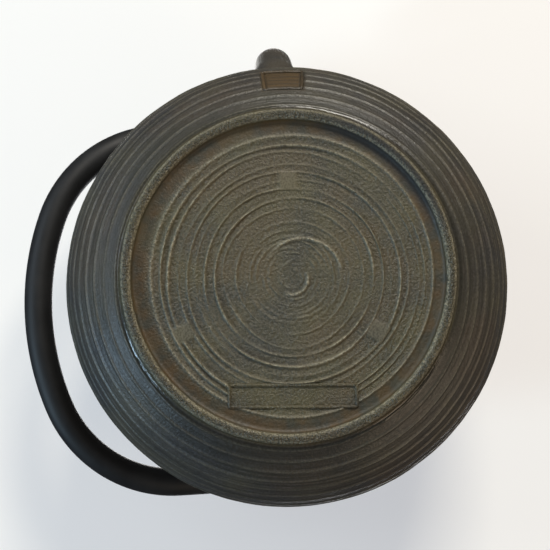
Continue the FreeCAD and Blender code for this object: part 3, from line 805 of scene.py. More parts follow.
def vessel_section(shape):
    """Half section of the vessel from the middle of its base, round the outside and back inside.

    Returns the points, their distance along the wall where there is one, how many are on the base, and
    where the lining starts.
    """
    sizes = shape.sizes
    base, foot = foot_section(shape)
    fillet, wall_start = foot_fillet(shape)
    along = np.concatenate((np.arange(wall_start, shape.last_thread, sizes.wall_step),
                            np.linspace(shape.last_thread, shape.end_along - sizes.frame_bar, 16)))
    edge, lining = inner_section(shape)
    points = np.vstack((base, foot, fillet, np.column_stack(shape.wall(along)[:2]), edge, lining))
    before = len(base) + len(foot) + len(fillet)
    distances = np.full(len(points), np.nan)
    distances[before:before + len(along)] = along
    return points, distances, len(base), len(points) - len(lining)


def turning_lines(sizes, radii, turns):
    """Rise of the base's uneven turning lines, as a share of their height."""
    draw = np.random.default_rng(BASE_SEED)
    rise = np.zeros((len(radii), len(turns)))
    for radius, strength in TURNING_LINES:
        line = radius + LINE_WANDER * waver(draw, turns, 4)
        force = np.clip(0.75 + 0.45 * waver(draw, turns, 7), 0.12, 1.3) * strength
        width = sizes.line_width * (1 + 0.25 * waver(draw, turns, 5))
        offset = radii[:, None] - line
        rise += force * (bell(offset, width) - 0.2 * bell(offset, 2.5 * width))
    spiral = SPIRAL_START + SPIRAL_GROWTH * (turns / TURN)
    rise += (0.2 + 0.2 * waver(draw, turns, 3)) * bell(radii[:, None] - spiral, sizes.line_width)
    for centre, radius, middle, half_span, strength in PARTIAL_LINES:
        x = radii[:, None] * np.cos(turns) - centre[0]
        y = radii[:, None] * np.sin(turns) - centre[1]
        off_middle = np.degrees(np.arccos(np.cos(np.arctan2(y, x) - math.radians(middle))))
        force = strength * (1 - step(0.5 * half_span, half_span, off_middle))
        rise += force * bell(np.hypot(x, y) - radius, 1.3 * sizes.line_width)
    return rise


def base_relief(sizes, radii, turns, points):
    """Rise of the base with its turning lines, pads and sunk plate, and how smooth it is."""
    rise = turning_lines(sizes, radii, turns)
    rise *= sizes.line_rise * (1 + 0.5 * noise_at(points, BEAD_SPACING, 1))
    smooth = np.zeros_like(rise)
    x, y = points[..., 0], points[..., 1]
    for pad_x, pad_y in PAD_PLACES:
        reach = math.hypot(pad_x, pad_y)
        along = (x * pad_x + y * pad_y) / reach - reach
        across = (y * pad_x - x * pad_y) / reach
        pad = inside_box(across, along, 0.95 * sizes.pad_size, sizes.pad_size, PAD_EDGE)
        rise = rise * (1 - pad) + PAD_RISE * pad
        smooth += pad
    x, y = x - sizes.plate_place[0], y - sizes.plate_place[1]
    cos, sin = math.cos(sizes.plate_turn), math.sin(sizes.plate_turn)
    plate = inside_box(x * cos + y * sin, y * cos - x * sin, sizes.plate_size[0] / 2,
                       sizes.plate_size[1] / 2, PLATE_EDGE)
    return rise * (1 - plate) - PLATE_SINK * plate, np.clip(smooth + 0.2 * plate, 0, 1)


def wall_relief(shape, along, turns):
    """Rise of the wall: the spiral thread line, left out where the seal is sunk."""
    sizes = shape.sizes
    draw = np.random.default_rng(WALL_SEED)
    rise = np.zeros((len(along), len(turns)))
    spiral = sizes.thread_start + sizes.thread_pitch * turns / TURN + sizes.thread_skew * (1 - np.cos(turns))
    for lap in range(-1, int(shape.last_thread / sizes.thread_pitch)):
        line = spiral + lap * sizes.thread_pitch + THREAD_WANDER * waver(draw, turns, 6)
        force = np.clip(0.9 + 0.16 * waver(draw, turns, 9), 0.5, 1.15)
        force = force * (1 - step(shape.last_thread - THREAD_FADE, shape.last_thread, line))
        rise += force * bell(along[:, None] - line, THREAD_SHARE * sizes.thread_width)
    rise *= sizes.thread_rise
    radius = shape.wall(sizes.seal_place[0])[0]
    across = (np.mod(turns + math.pi, TURN) - math.pi) * radius - sizes.seal_place[1]
    seal = inside_box(across, (along - sizes.seal_place[0])[:, None], sizes.seal_size[1] / 2,
                      sizes.seal_size[0] / 2, SEAL_EDGE)
    return rise * (1 - seal) - SEAL_SINK * seal


def make_vessel(shape):
    """Closed mesh of the vessel with its relief and cast skin."""
    sizes = shape.sizes
    section, along, base_count, lining_start = vessel_section(shape)
    turns = even_turns(sizes.segments)
    rings = turned(section, sizes.segments)
    slope = np.gradient(section, axis=0)
    outward = unit(np.column_stack((slope[:, 1], -slope[:, 0])))
    shift = 1 - step(0.75 * shape.foot_inside, shape.foot_inside - 0.002, section[:base_count, 0])
    for axis in (0, 1):
        rings[:base_count, :, axis] += (sizes.base_centre[axis] * shift)[:, None]

    outside = np.arange(len(section)) < lining_start
    rise = cast_skin(sizes, rings) * np.where(outside, 1.0, LINING_SKIN)[:, None]
    relief, smooth = base_relief(sizes, section[:base_count, 0], turns, rings[:base_count])
    rise[:base_count] = rise[:base_count] * (1 - smooth) + relief
    on_wall = ~np.isnan(along)
    threads = wall_relief(shape, along[on_wall], turns)
    rise[on_wall] += threads
    rings[..., 0] += rise * outward[:, :1] * np.cos(turns)
    rings[..., 1] += rise * outward[:, :1] * np.sin(turns)
    rings[..., 2] = np.maximum(rings[..., 2] + rise * outward[:, 1:], 0)

    # Crests, lightened in the material as rubbed iron and partly as painted highlight, and made glossier
    crests = np.zeros_like(rise)
    crests[:base_count] = np.clip(relief / sizes.line_rise, 0, 1.1) ** 1.5
    on_foot = (section[:, 1] < 0.5 * sizes.foot_recess) & outside
    for edge in (shape.foot_inside + FOOT_EDGE, sizes.foot_radius - FOOT_EDGE):
        crests[on_foot] += 0.8 * bell(section[on_foot, :1] - edge, FOOT_EDGE)
    crests[on_wall] = 0.2 * threads / sizes.thread_rise
    mesh = ring_mesh("vessel", rings)
    store(mesh, "crest", np.clip(crests, 0, 1))
    store(mesh, "smooth", smooth)
    store(mesh, "along", np.repeat(np.nan_to_num(along), sizes.segments))
    first_lining = lining_start * sizes.segments
    lined = [LINING if min(face.vertices) >= first_lining else 0 for face in mesh.polygons]
    mesh.polygons.foreach_set("material_index", lined)
    return mesh


# The spout and the ears

# Reach, height, radius and tilt in degrees at the spout's root, neck and tip
SPOUT_STATIONS = ((0.0600, 0.0410, 0.0150, 60), (0.0820, 0.0605, 0.0086, 36), (0.0910, 0.0770, 0.0074, 8))
SPOUT_SIDES = 96
SPOUT_LIP = 0.001
SPOUT_UPPER_LENGTH = 0.0188
SPOUT_WAVE_SPACING = 0.012
SPOUT_BURIED_RINGS = 6
BORE_SIDES = 64
# Share of the spout's length and widening of the bore at its mouth
BORE_FLARES = ((1.975, 0.00012), (1.99, 0.0004), (2.0, 0.0009), (2.06, 0.0032))
EAR_SIDES = 96
EAR_FOOT = 0.0334
EAR_EDGE = 0.0014
EAR_FLARE = 0.0022
EAR_FLARE_REACH = 0.0017


def spout_line(share):
    """Middle, direction and radius of the spout, for shares from 0 at its root to 2 at its tip."""
    share = np.asarray(share, float)
    middles = np.array([(reach, 0, height) for reach, height, _, _ in SPOUT_STATIONS])
    tilts = np.radians([tilt for _, _, _, tilt in SPOUT_STATIONS])
    aims = np.column_stack((np.sin(tilts), np.zeros(3), np.cos(tilts)))
    part = np.clip(np.floor(share).astype(int), 0, 1)
    t = (share - part)[..., None]
    start, end = middles[part], middles[part + 1]
    chord = np.linalg.norm(end - start, axis=-1)[..., None]
    leave, arrive = aims[part] * chord, aims[part + 1] * chord
    middle = ((2 * t ** 3 - 3 * t ** 2 + 1) * start + (t ** 3 - 2 * t ** 2 + t) * leave
              + (3 * t ** 2 - 2 * t ** 3) * end + (t ** 3 - t ** 2) * arrive)
    ahead = ((6 * t ** 2 - 6 * t) * (start - end) + (3 * t ** 2 - 4 * t + 1) * leave
             + (3 * t ** 2 - 2 * t) * arrive)
    root, neck, tip = (radius for _, _, radius, _ in SPOUT_STATIONS)
    radius = root + (neck - root) * share + (tip - 2 * neck + root) / 2 * share * (share - 1)
    return middle, unit(ahead), radius


def spout_points(share, turns, radius=None):
    """Points on the spout's skin at shares along it and turns round it."""
    middle, ahead, own_radius = spout_line(share)
    radius = own_radius if radius is None else radius
    back = np.stack((-ahead[..., 2], np.zeros_like(own_radius), ahead[..., 0]), axis=-1)
    spread = np.cos(turns)[..., None] * SIDEWAYS + np.sin(turns)[..., None] * back
    return middle + radius[..., None] * spread


def make_spout(shape):
    """Closed spout whose root spreads into the wall."""
    sizes = shape.sizes
    turns = even_turns(SPOUT_SIDES)
    shares = np.linspace(0, 2, 500)
    gaps, _ = shape.clearance(spout_points(shares[None, :], turns[:, None]))
    meeting = shares[np.argmax(gaps > 0, axis=1)]
    leaving = shares[np.argmax(gaps > 0.8 * sizes.spout_fillet, axis=1)]
    corner = shape.sunk(spout_points(meeting, turns), 0)
    _, outward = shape.clearance(corner)
    spread = corner - spout_line(meeting)[0]
    spread = unit(spread - (spread * outward).sum(axis=1)[:, None] * outward)
    edge = shape.sunk(corner + sizes.spout_fillet * spread, 0.0001)
    leave = spout_points(leaving, turns)
    hub = corner.mean(axis=0)
    rings = [shape.sunk(hub + share * (edge - hub), sizes.wall / 2) for share in (0.15, 0.45, 0.75, 1.0)]
    rings += [bend(edge, corner, leave, share) for share in np.linspace(0, 1, 9)]
    lip_start = 2 - SPOUT_LIP / SPOUT_UPPER_LENGTH
    for share in np.linspace(0, 1, 18)[1:]:
        rings.append(spout_points(leaving + (lip_start - leaving) * share, turns))
    for turn in np.radians((30, 60, 90)):
        at = np.full_like(turns, lip_start + (2 - lip_start) * math.sin(turn))
        rings.append(spout_points(at, turns, spout_line(at)[2] - SPOUT_LIP * (1 - math.cos(turn))))
    rings.append(rings[-1] * 0.5 + rings[-1].mean(axis=0) * 0.5)
    rings = np.array(rings)
    skin = 0.5 * sizes.undulation * noise_at(rings, SPOUT_WAVE_SPACING)
    waves = skin[..., None] * (rings - rings.mean(axis=1)[:, None]) / 0.01
    rings[SPOUT_BURIED_RINGS:] += waves[SPOUT_BURIED_RINGS:]
    return ring_mesh("spout", rings)


def make_bore(shape):
    """What is cut out of the spout and the wall under it."""
    wall = shape.sizes.spout_wall
    turns = even_turns(BORE_SIDES)
    shares = np.linspace(0.02, 1.95, 30)
    radii = spout_line(shares)[2] - np.interp(shares, (0, 1, 2), (2 * wall, wall, wall))
    stations = [*zip(shares, radii), *((share, radii[-1] + flare) for share, flare in BORE_FLARES)]
    rings = [spout_points(np.full_like(turns, share), turns, np.full_like(turns, radius))
             for share, radius in stations]
    mesh = ring_mesh("bore", np.array(rings))
    mesh.polygons.foreach_set("material_index", [LINING] * len(mesh.polygons))
    return mesh


def make_ear(shape, side):
    """Closed ear with its hole, spreading into the shoulder; side is 1 at the spout and -1 behind."""
    sizes = shape.sizes
    turns = even_turns(EAR_SIDES)
    across, up = np.cos(turns), np.sin(turns)
    foot = sizes.ear_height - (sizes.belly_height + EAR_FOOT)
    sides = np.abs(across) - sizes.ear_spread * np.abs(up)
    slant = np.where(sides > 0.05, sizes.ear_radius / np.maximum(sides, 0.05), 1.0)
    low = np.minimum(slant, foot / np.maximum(np.abs(up), 1e-6))
    outline = np.where(up >= 0, sizes.ear_radius, low)
    half = sizes.ear_thickness / 2
    bore = sizes.ear_bore
    # Share of the way from the hole to the outline, shift outwards and place in the thickness
    profile = [(0, 0.0, 0.0), (0, 0.0, half - 0.0006), (0, 0.00015, half - 0.0002), (0, 0.0006, half)]
    profile += [(share, 0.0, half) for share in (0.3, 0.45, 0.6, 0.75)]
    profile += [(1, -EAR_EDGE, half), (1, -0.3 * EAR_EDGE, half - 0.3 * EAR_EDGE),
                (1, 0.0, half - EAR_EDGE), (1, 0.0, 0.0)]
    mirrored = [(share, shift, -thick) for share, shift, thick in profile[-2:0:-1]]
    rings = []
    for share, shift, thick in profile + mirrored:
        reach = bore + (outline - bore) * share + shift
        point = np.column_stack((np.full_like(turns, side * sizes.ear_middle + thick),
                                 reach * across, sizes.ear_height + reach * up))
        gap, _ = shape.clearance(point)
        flare = EAR_FLARE * np.exp(-np.maximum(gap, 0) / EAR_FLARE_REACH)
        point[:, 0] += np.sign(thick) * flare * min(1.0, abs(thick) / (half - EAR_EDGE))
        point[:, 1] += np.sign(point[:, 1]) * flare * (share == 1)
        rings.append(point)
    return ring_mesh(f"ear{side}", np.array(rings), "loop")


# The frames of the plate and the seal

# Places across a framing bar, in shares of its width and its height
BAR_OUTLINE = ((-0.5, -1.2), (-0.46, 0.3), (-0.3, 0.85), (0.0, 1.0), (0.3, 0.85), (0.46, 0.3), (0.5, -1.2))
BAR_CORNER = 0.0006
BAR_SEED = 3


def framing_bar(size, bar, rise, laid):
    """A raised bar round a rectangle; laid turns (across, along, up) into a place."""
    half = np.array(size) / 2
    path = []
    for quarter, (sign_across, sign_along) in enumerate(((1, 1), (-1, 1), (-1, -1), (1, -1))):
        centre = np.array((sign_across * (half[0] - BAR_CORNER), sign_along * (half[1] - BAR_CORNER)))
        for turn in np.radians(quarter * 90 + np.array((0, 30, 60, 90))):
            way = np.array((math.cos(turn), math.sin(turn)))
            path.append((centre + BAR_CORNER * way, way))
        start, way = path[-1]
        run = np.array((-way[1], way[0])) * 2 * (half[quarter % 2] - BAR_CORNER)
        path += [(start + run * share, way) for share in np.linspace(0, 1, 16)[1:-1]]
    draw = np.random.default_rng(BAR_SEED)
    rings = []
    for point, way in path:
        uneven = 1 + 0.18 * draw.normal()
        rings.append([laid(*(point + way * out * bar), up * rise * (uneven if up > 0 else 1))
                      for out, up in BAR_OUTLINE])
    return ring_mesh("framing", np.array(rings), "loop")


def make_plate_frame(shape):
    """Bars round the bare plate on the base."""
    sizes = shape.sizes
    cos, sin = math.cos(sizes.plate_turn), math.sin(sizes.plate_turn)

    def laid(across, along, up):
        return (sizes.plate_place[0] + across * cos - along * sin,
                sizes.plate_place[1] + across * sin + along * cos, sizes.foot_recess - up)

    return framing_bar(sizes.plate_size, sizes.frame_bar, sizes.frame_rise, laid)


def make_seal_frame(shape):
    """Bars round the bare seal under the spout."""
    sizes = shape.sizes
    middle = shape.wall(sizes.seal_place[0])[0]

    def laid(across, along, up):
        radius, height, out, rise = shape.wall(sizes.seal_place[0] + across)
        turn = (sizes.seal_place[1] + along) / middle
        reach = radius + up * out
        return reach * math.cos(turn), reach * math.sin(turn), height + up * rise

    return framing_bar(sizes.seal_size, sizes.frame_bar, sizes.frame_rise, laid)


class TEAPOT_OT_casting(Operator):
    """Make the cast vessel with its foot ring, spout and ears"""

    bl_idname = "teapot.casting"
    bl_label = "Cast vessel"

    def execute(self, context):
        sizes = context.scene.teapot_casting
        shape = VesselShape(sizes)
        additions = joined("additions", [make_spout(shape), make_ear(shape, 1), make_ear(shape, -1),
                                         make_plate_frame(shape), make_seal_frame(shape)])
        mesh = combined(make_vessel(shape), additions, "UNION")
        mesh = combined(mesh, make_bore(shape), "DIFFERENCE")
        materials = [iron_material(sizes), lining_material(sizes)]
        add_piece("pot_casting", mesh, materials, "pot", "pot_body")
        return {"FINISHED"}


# The bail

TUBE_SIDES = 40
TUBE_WALL = 0.0012
TUBE_EDGE = 0.0004
HOOK_SIDES = 32
PIN_NOSE = 0.001


def hung(points, sizes):
    """Points of the upright bail moved to its place in the ears, folded to one side."""
    x, y, z = (points[..., axis] for axis in range(3))
    cos, sin = math.cos(FOLD), math.sin(FOLD)
    return np.stack((x + sizes.offset, y * cos - z * sin, y * sin + z * cos + HINGE_HEIGHT), axis=-1)


def upright(flat):
    """Points (across, up) of the bail's plane as points in space."""
    return np.column_stack((flat[:, 0], np.zeros(len(flat)), flat[:, 1]))


def make_tube(sizes):
    """The hollow grip, with softened ends."""
    shoulder_across = sizes.half_width - sizes.shoulder_radius
    lean = math.asin(shoulder_across / (sizes.top_radius - sizes.shoulder_radius))
    top_centre = sizes.height - sizes.top_radius
    shoulder_up = top_centre + (sizes.top_radius - sizes.shoulder_radius) * math.cos(lean)
    meeting = 90 - math.degrees(lean)
    right = np.vstack((
        [(sizes.half_width, up) for up in np.linspace(sizes.tube_end, shoulder_up, 8)[:-1]],
        arc((shoulder_across, shoulder_up), sizes.shoulder_radius, 0, meeting, 26)[:-1],
        arc((0, top_centre), sizes.top_radius, meeting, 90, 20)))
    left = right[-2::-1] * (-1, 1)
    path = upright(np.vstack((right, left)))
    outer, eased, bore = (swept(path, sizes.tube_radius - less, TUBE_SIDES)
                          for less in (0, TUBE_EDGE, TUBE_WALL))
    lift = TUBE_EDGE * UPWARDS
    rings = [bore[0], eased[0], outer[0] + lift, *outer[1:-1], outer[-1] + lift, eased[-1], bore[-1],
             *bore[-2:0:-3]]
    return ring_mesh("tube", hung(np.array(rings), sizes), "loop")


def make_hook(sizes, side):
    """End fitting: taper, bend and pin; side is 1 at the spout and -1 behind."""
    leg, pin_radius, bend_radius = sizes.half_width, sizes.pin_radius, sizes.bend_radius
    taper_top = sizes.tube_end - TUBE_EDGE
    taper_low = sizes.tube_end - sizes.taper_length
    stations = [(leg, sizes.tube_end, sizes.tube_radius - TUBE_EDGE), (leg, taper_top, sizes.tube_radius)]
    for share in np.linspace(0.05, 1, 10):
        narrowing = 0.5 * share + 0.5 * step(0, 1, share)
        radius = sizes.tube_radius + (pin_radius - sizes.tube_radius) * narrowing
        stations.append((leg, taper_top - (sizes.taper_length - TUBE_EDGE) * share, radius))
    stations.append((leg, 0.5 * (taper_low + bend_radius), pin_radius))
    for across, up in arc((leg - bend_radius, bend_radius), bend_radius, 0, -90, 12):
        stations.append((across, up, pin_radius))
    reach = leg - bend_radius - sizes.pin_end - PIN_NOSE
    for share in (0.25, 0.5, 0.75, 1.0):
        stations.append((leg - bend_radius - reach * share, 0.0, pin_radius))
    for turn in np.radians((25, 50, 70, 90)):
        stations.append((sizes.pin_end + PIN_NOSE * (1 - math.sin(turn)), 0.0,
                         pin_radius - PIN_NOSE * (1 - math.cos(turn))))
    stations = np.array(stations)
    stations[:, 0] *= side
    rings = swept(upright(stations[:, :2]), stations[:, 2], HOOK_SIDES)
    return ring_mesh("hook", hung(rings, sizes))


class TEAPOT_OT_bail(Operator):
    """Make the bail: the hollow grip and its two hooks"""

    bl_idname = "teapot.bail"
    bl_label = "Bail handle"

    def execute(self, context):
        sizes = context.scene.teapot_bail
        lacquer = [lacquer_material(sizes.lacquer)]
        add_piece("bail_grip", make_tube(sizes), lacquer, "bail", "handle_tube")
        for side, name in ((1, "front"), (-1, "back")):
            add_piece(f"bail_hook_{name}", make_hook(sizes, side), lacquer, "bail",
                      f"handle_hook_{name}")
        return {"FINISHED"}


# The lid

LID_SIDES = 240
LID_SKIN = 0.7
THREADS_END = 0.012
KNOB_SIDES = 96
KNOB_SKIN = 0.6
SCREW_SIDES = 48
SCREW_GAP = 0.00005
SCREW_THREAD_DEPTH = 0.00022
SCREW_THREAD_RINGS = 6
# Half length and half width of an arm of the cross recess, and the height and size of its ends
RECESS_LENGTH = 0.0021
RECESS_WIDTH = 0.00038
RECESS_ENDS = ((-0.0005, 1.1), (0.0013, 0.75))
SQUARE_CORNERS = ((-1, -1), (1, -1), (1, 1), (-1, 1))
WASHER_SIDES = 64


def dome(sizes, top, radius, edge_height, count):
    """Points of a dome from its edge up to the land in its middle."""
    run = radius - sizes.land
    rise = top - edge_height
    chord = math.hypot(run, rise)
    tilt = math.atan2(rise, run)
    half = math.asin(chord / 2 / sizes.dome_radius)
    turns = half * (2 * np.linspace(0, 1, count) - 1)
    along = chord / 2 + sizes.dome_radius * np.sin(turns)
    bulge = sizes.dome_radius * (np.cos(turns) - math.cos(half))
    inwards = along * math.cos(tilt) - bulge * math.sin(tilt)
    up = along * math.sin(tilt) + bulge * math.cos(tilt)
    return np.column_stack((radius - inwards, edge_height + up))


def make_lid(sizes, casting):
    """Domed lid with thread lines, a step and a skirt."""
    low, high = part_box("lid")
    radius = high.x
    brim, register = sizes.brim_height, sizes.register_height
    edge_top = brim + sizes.edge
    under_edge = edge_top - sizes.thickness
    skirt_inside = sizes.skirt_radius - sizes.skirt_thickness
    under = dome(sizes, high.z - sizes.thickness, skirt_inside, under_edge, 14)[::-1]
    outline = softened([
        (skirt_inside, under_edge - 0.0002, 0), (skirt_inside, low.z, 0.0006),
        (sizes.skirt_radius, low.z, 0.0008), (sizes.skirt_radius, register, 0.0004),
        (sizes.register_radius, register, 0.0004), (sizes.register_radius, brim, 0.0003),
        (radius, brim, 0.0007), (radius, edge_top, 0.0009), (radius - 0.002, edge_top + 0.0003, 0)])
    over = dome(sizes, high.z, radius, edge_top, 110)
    over = over[over[:, 0] < radius - 0.0012]
    threads = np.zeros(len(over))
    for thread in np.arange(radius - sizes.thread_pitch, THREADS_END, -sizes.thread_pitch):
        threads += bell(over[:, 0] - thread, THREAD_SHARE * casting.thread_width)
    over[:, 1] += casting.thread_rise * threads
    middle = [(sizes.bore, high.z), (sizes.bore, high.z - sizes.thickness)]
    rings = turned(np.vstack((under, outline, over, middle)), LID_SIDES)
    outer = slice(len(under) + len(outline), len(rings) - len(middle))
    rings[outer, :, 2] += LID_SKIN * cast_skin(casting, rings[outer])
    return ring_mesh("lid", rings, "loop")


def make_knob(sizes, casting):
    """Bud-shaped knob."""
    low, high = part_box("lid_knob")
    widest = high.x
    base_radius, base_height = sizes.knob_base
    waist_radius, waist_height = sizes.knob_waist
    base_top = low.z + base_height
    waist = base_top + waist_height
    bulge = widest - waist_radius
    belly = waist + bulge
    base = softened([(0.0004, low.z, 0), (base_radius, low.z, 0.0004), (base_radius, base_top, 0.0006),
                     (base_radius - 0.0012, base_top, 0)])
    neck_radii = (base_radius - 0.0004, waist_radius + 0.0003, waist_radius)
    neck = np.column_stack((np.interp(np.linspace(0, 1, 10), (0, 0.35, 1), neck_radii),
                            np.linspace(base_top, waist - 0.0004, 10)))
    flank = arc((waist_radius, belly), bulge, -90, -6, 14)
    cap_height = high.z - waist - bulge
    cap_radius = (widest ** 2 + cap_height ** 2) / (2 * cap_height)
    spread = math.degrees(math.asin((widest - 0.0007) / cap_radius))
    cap = arc((0, high.z - cap_radius), cap_radius, 90 - spread, 89.2, 22)
    crown = softened([(*flank[-1], 0), (widest + 0.0001, belly + 0.0002, 0.0005), (*cap[0], 0)])[1:-1]
    rings = turned(np.vstack((base[:-1], neck, flank, crown, cap)), KNOB_SIDES)
    skin = cast_skin(casting, rings, KNOB_WAVE_SPACING, KNOB_SKIN)
    rings += skin[..., None] * unit(rings - np.array((0, 0, belly)))
    return ring_mesh("knob", rings)


def make_screw(sizes):
    """Pan head screw with a cross recess and a thread."""
    low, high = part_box("knob_screw")
    head_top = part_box("knob_washer")[0].z
    head_radius = high.x
    head_height = head_top - low.z
    shank = sizes.bore - SCREW_GAP
    sphere = (head_radius ** 2 + head_height ** 2) / (2 * head_height)
    spread = math.degrees(math.asin(head_radius / sphere))
    head = arc((0, low.z + sphere), sphere, -89, -90 + spread, 14)
    heights = np.arange(head_top, high.z - 0.0006, sizes.screw_pitch / 6)
    section = np.vstack((head, [(head_radius - 0.0002, head_top)],
                         np.column_stack((np.full_like(heights, shank), heights)),
                         [(shank - 0.0005, high.z), (0.0003, high.z)]))
    rings = turned(section, SCREW_SIDES)
    turns = even_turns(SCREW_SIDES)
    for row, height in enumerate(heights[:-2]):
        phase = height / sizes.screw_pitch - turns / TURN
        groove = 1 - np.abs(2 * (phase - np.floor(phase)) - 1)
        depth = SCREW_THREAD_DEPTH * groove * min(1.0, row / SCREW_THREAD_RINGS)
        rings[len(head) + 1 + row, :, :2] *= (1 - depth / shank)[:, None]
    mesh = ring_mesh("screw", rings)
    for wide, deep in ((RECESS_LENGTH, RECESS_WIDTH), (RECESS_WIDTH, RECESS_LENGTH)):
        arm = np.array([[(x * wide * size, y * deep * size, low.z + height) for x, y in SQUARE_CORNERS]
                        for height, size in RECESS_ENDS])
        mesh = combined(mesh, ring_mesh("recess", arm), "DIFFERENCE")
    return mesh


def make_washer(sizes):
    """Flat washer with eased edges."""
    low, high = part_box("knob_washer")
    section = softened_loop([(sizes.bore, low.z, 0.0001), (high.x, low.z, 0.0002), (high.x, high.z, 0.0002),
                             (sizes.bore, high.z, 0.0001)])
    return ring_mesh("washer", turned(section, WASHER_SIDES), "loop")


class TEAPOT_OT_lid(Operator):
    """Make the lid, its knob, and the screw and washer that hold the knob"""

    bl_idname = "teapot.lid"
    bl_label = "Lid and knob"

    def execute(self, context):
        sizes = context.scene.teapot_lid
        casting = context.scene.teapot_casting
        iron = [bpy.data.materials["cast iron"]]
        steel = [steel_material(context.scene.teapot_infuser.metal, "turned steel", (1, 1, 40))]
        add_piece("lid_casting", make_lid(sizes, casting), iron, "lid", "lid")
        add_piece("lid_bud_knob", make_knob(sizes, casting), iron, "lid", "lid_knob")
        add_piece("lid_screw", make_screw(sizes), steel, "lid", "knob_screw")
        add_piece("lid_washer", make_washer(sizes), steel, "lid", "knob_washer")
        return {"FINISHED"}


# The infuser

INFUSER_SIDES = 160
WIRE_SIDES = 4
WALL_INSET = 0.00025
FLOOR_INSET = 0.0002
COLLAR_NECK = 0.0355
COLLAR_BORE = 0.0349
COLLAR_SHEET = 0.0008
HOOP_LIP = 0.03185
HOOP_SHEET = 0.0005


def wires(paths, radius, closed):
    """One mesh of thin wires, along paths of points that each come with a way out of the weave."""
    turns = (np.arange(WIRE_SIDES) + 0.5) * TURN / WIRE_SIDES
    cos, sin = np.cos(turns)[:, None], np.sin(turns)[:, None]
    meshes = []
    for path, out in paths:
        if closed:
            ahead = unit(np.gradient(np.vstack((path[-1:], path, path[:1])), axis=0)[1:-1])
        else:
            ahead = unit(np.gradient(path, axis=0))
        side = unit(np.cross(ahead, out))
        up = np.cross(side, ahead)
        rings = path[:, None, :] + radius * (cos * side[:, None, :] + sin * up[:, None, :])
        meshes.append(ring_mesh("wire", rings, "loop" if closed else "poles"))
    return joined("wires", meshes)


def make_mesh_wall(sizes):
    """Woven wire wall of the cup."""
    low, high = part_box("infuser_wall")
    radius = high.x - WALL_INSET
    count = sizes.upright_wires
    rows = int((high.z - low.z) / (TURN * radius / count))
    heights = np.linspace(low.z, high.z, 2 * rows + 1)
    swing = np.cos(math.pi * (np.arange(2 * rows + 1) - 1) / 2)
    uprights = []
    for wire in range(count):
        turn = TURN * wire / count
        out = np.array((math.cos(turn), math.sin(turn), 0))
        reach = radius + sizes.weave * swing * (-1) ** wire
        uprights.append((reach[:, None] * out + heights[:, None] * UPWARDS, out))
    turns = even_turns(2 * count)
    out = np.column_stack((np.cos(turns), np.sin(turns), np.zeros_like(turns)))
    swing = np.cos(math.pi * np.arange(2 * count) / 2)
    hoops = []
    for row in range(rows):
        height = low.z + (row + 0.5) * (high.z - low.z) / rows
        reach = radius - sizes.weave * swing * (-1) ** row
        hoops.append((reach[:, None] * out + (0, 0, height), out))
    return joined("wall", [wires(uprights, sizes.wire_radius, False), wires(hoops, sizes.wire_radius, True)])


def make_mesh_floor(sizes):
    """Woven wire floor of the cup."""
    low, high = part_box("infuser_floor")
    radius = high.x - FLOOR_INSET
    middle = (low.z + high.z) / 2
    pitch = TURN * radius / sizes.upright_wires
    count = int(radius / pitch)
    paths = []
    for sign in (-1, 1):
        for wire in range(-count, count + 1):
            half = math.sqrt(radius ** 2 - (wire * pitch) ** 2)
            last = int(half / pitch * 2)
            steps_along = np.arange(-last, last + 1)
            along = np.clip(steps_along * pitch / 2, -half, half)
            across = np.full_like(along, wire * pitch)
            swing = sizes.weave * np.cos(math.pi * steps_along / 2) * (-1) ** wire * sign
            flat = (across, along) if sign > 0 else (along, across)
            if len(along) > 2:
                paths.append((np.column_stack((*flat, middle + swing)), UPWARDS))
    return wires(paths, sizes.wire_radius, False)


def make_collar():
    """Stamped flange and neck with rolled edges."""
    low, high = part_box("infuser_collar")
    seat = high.z - COLLAR_SHEET
    section = softened_loop([
        (COLLAR_BORE, low.z, 0.0002), (COLLAR_NECK, low.z, 0.0002), (COLLAR_NECK, seat, 0.0004),
        (high.x, seat, 0.0003), (high.x, high.z, 0.0003), (COLLAR_BORE, high.z, 0.0007)])
    return ring_mesh("collar", turned(section, INFUSER_SIDES), "loop")


def make_hoop():
    """Crimped hoop round the cup's lower edge, with a bead."""
    low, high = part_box("infuser_hoop")
    bore = high.x - HOOP_SHEET
    lip_top = low.z + HOOP_SHEET
    section = softened_loop([
        (HOOP_LIP, low.z, 0.00015), (high.x, low.z, 0.0006), (high.x, high.z - 0.0004, 0.0002),
        (high.x - 0.0001, high.z, 0.00015), (bore, high.z, 0.0001), (bore, lip_top, 0.0002),
        (HOOP_LIP, lip_top, 0.00015)])
    return ring_mesh("hoop", turned(section, INFUSER_SIDES), "loop")


class TEAPOT_OT_infuser(Operator):
    """Make the infuser: collar, woven wall and floor, and the crimped hoop"""

    bl_idname = "teapot.infuser"
    bl_label = "Infuser"

    def execute(self, context):
        sizes = context.scene.teapot_infuser
        spun = [steel_material(sizes.metal, "spun steel", (1, 1, 60))]
        wire = [steel_material(sizes.metal, "wire steel", (20, 20, 20))]
        add_piece("infuser_flange", make_collar(), spun, "infuser", "infuser_collar")
        add_piece("infuser_mesh_wall", make_mesh_wall(sizes), wire, "infuser", "infuser_wall")
        add_piece("infuser_mesh_floor", make_mesh_floor(sizes), wire, "infuser", "infuser_floor")
        add_piece("infuser_crimp", make_hoop(), spun, "infuser", "infuser_hoop")
        return {"FINISHED"}


# The stage

TABLE_HALF = 1.5
TABLE_GLOW = 0.45
FLOOR_HALF = 8.0
FLOOR_HEIGHT = -0.0003
FLOOR_GLOW = 0.35
BACKDROP_TOP = 6.0
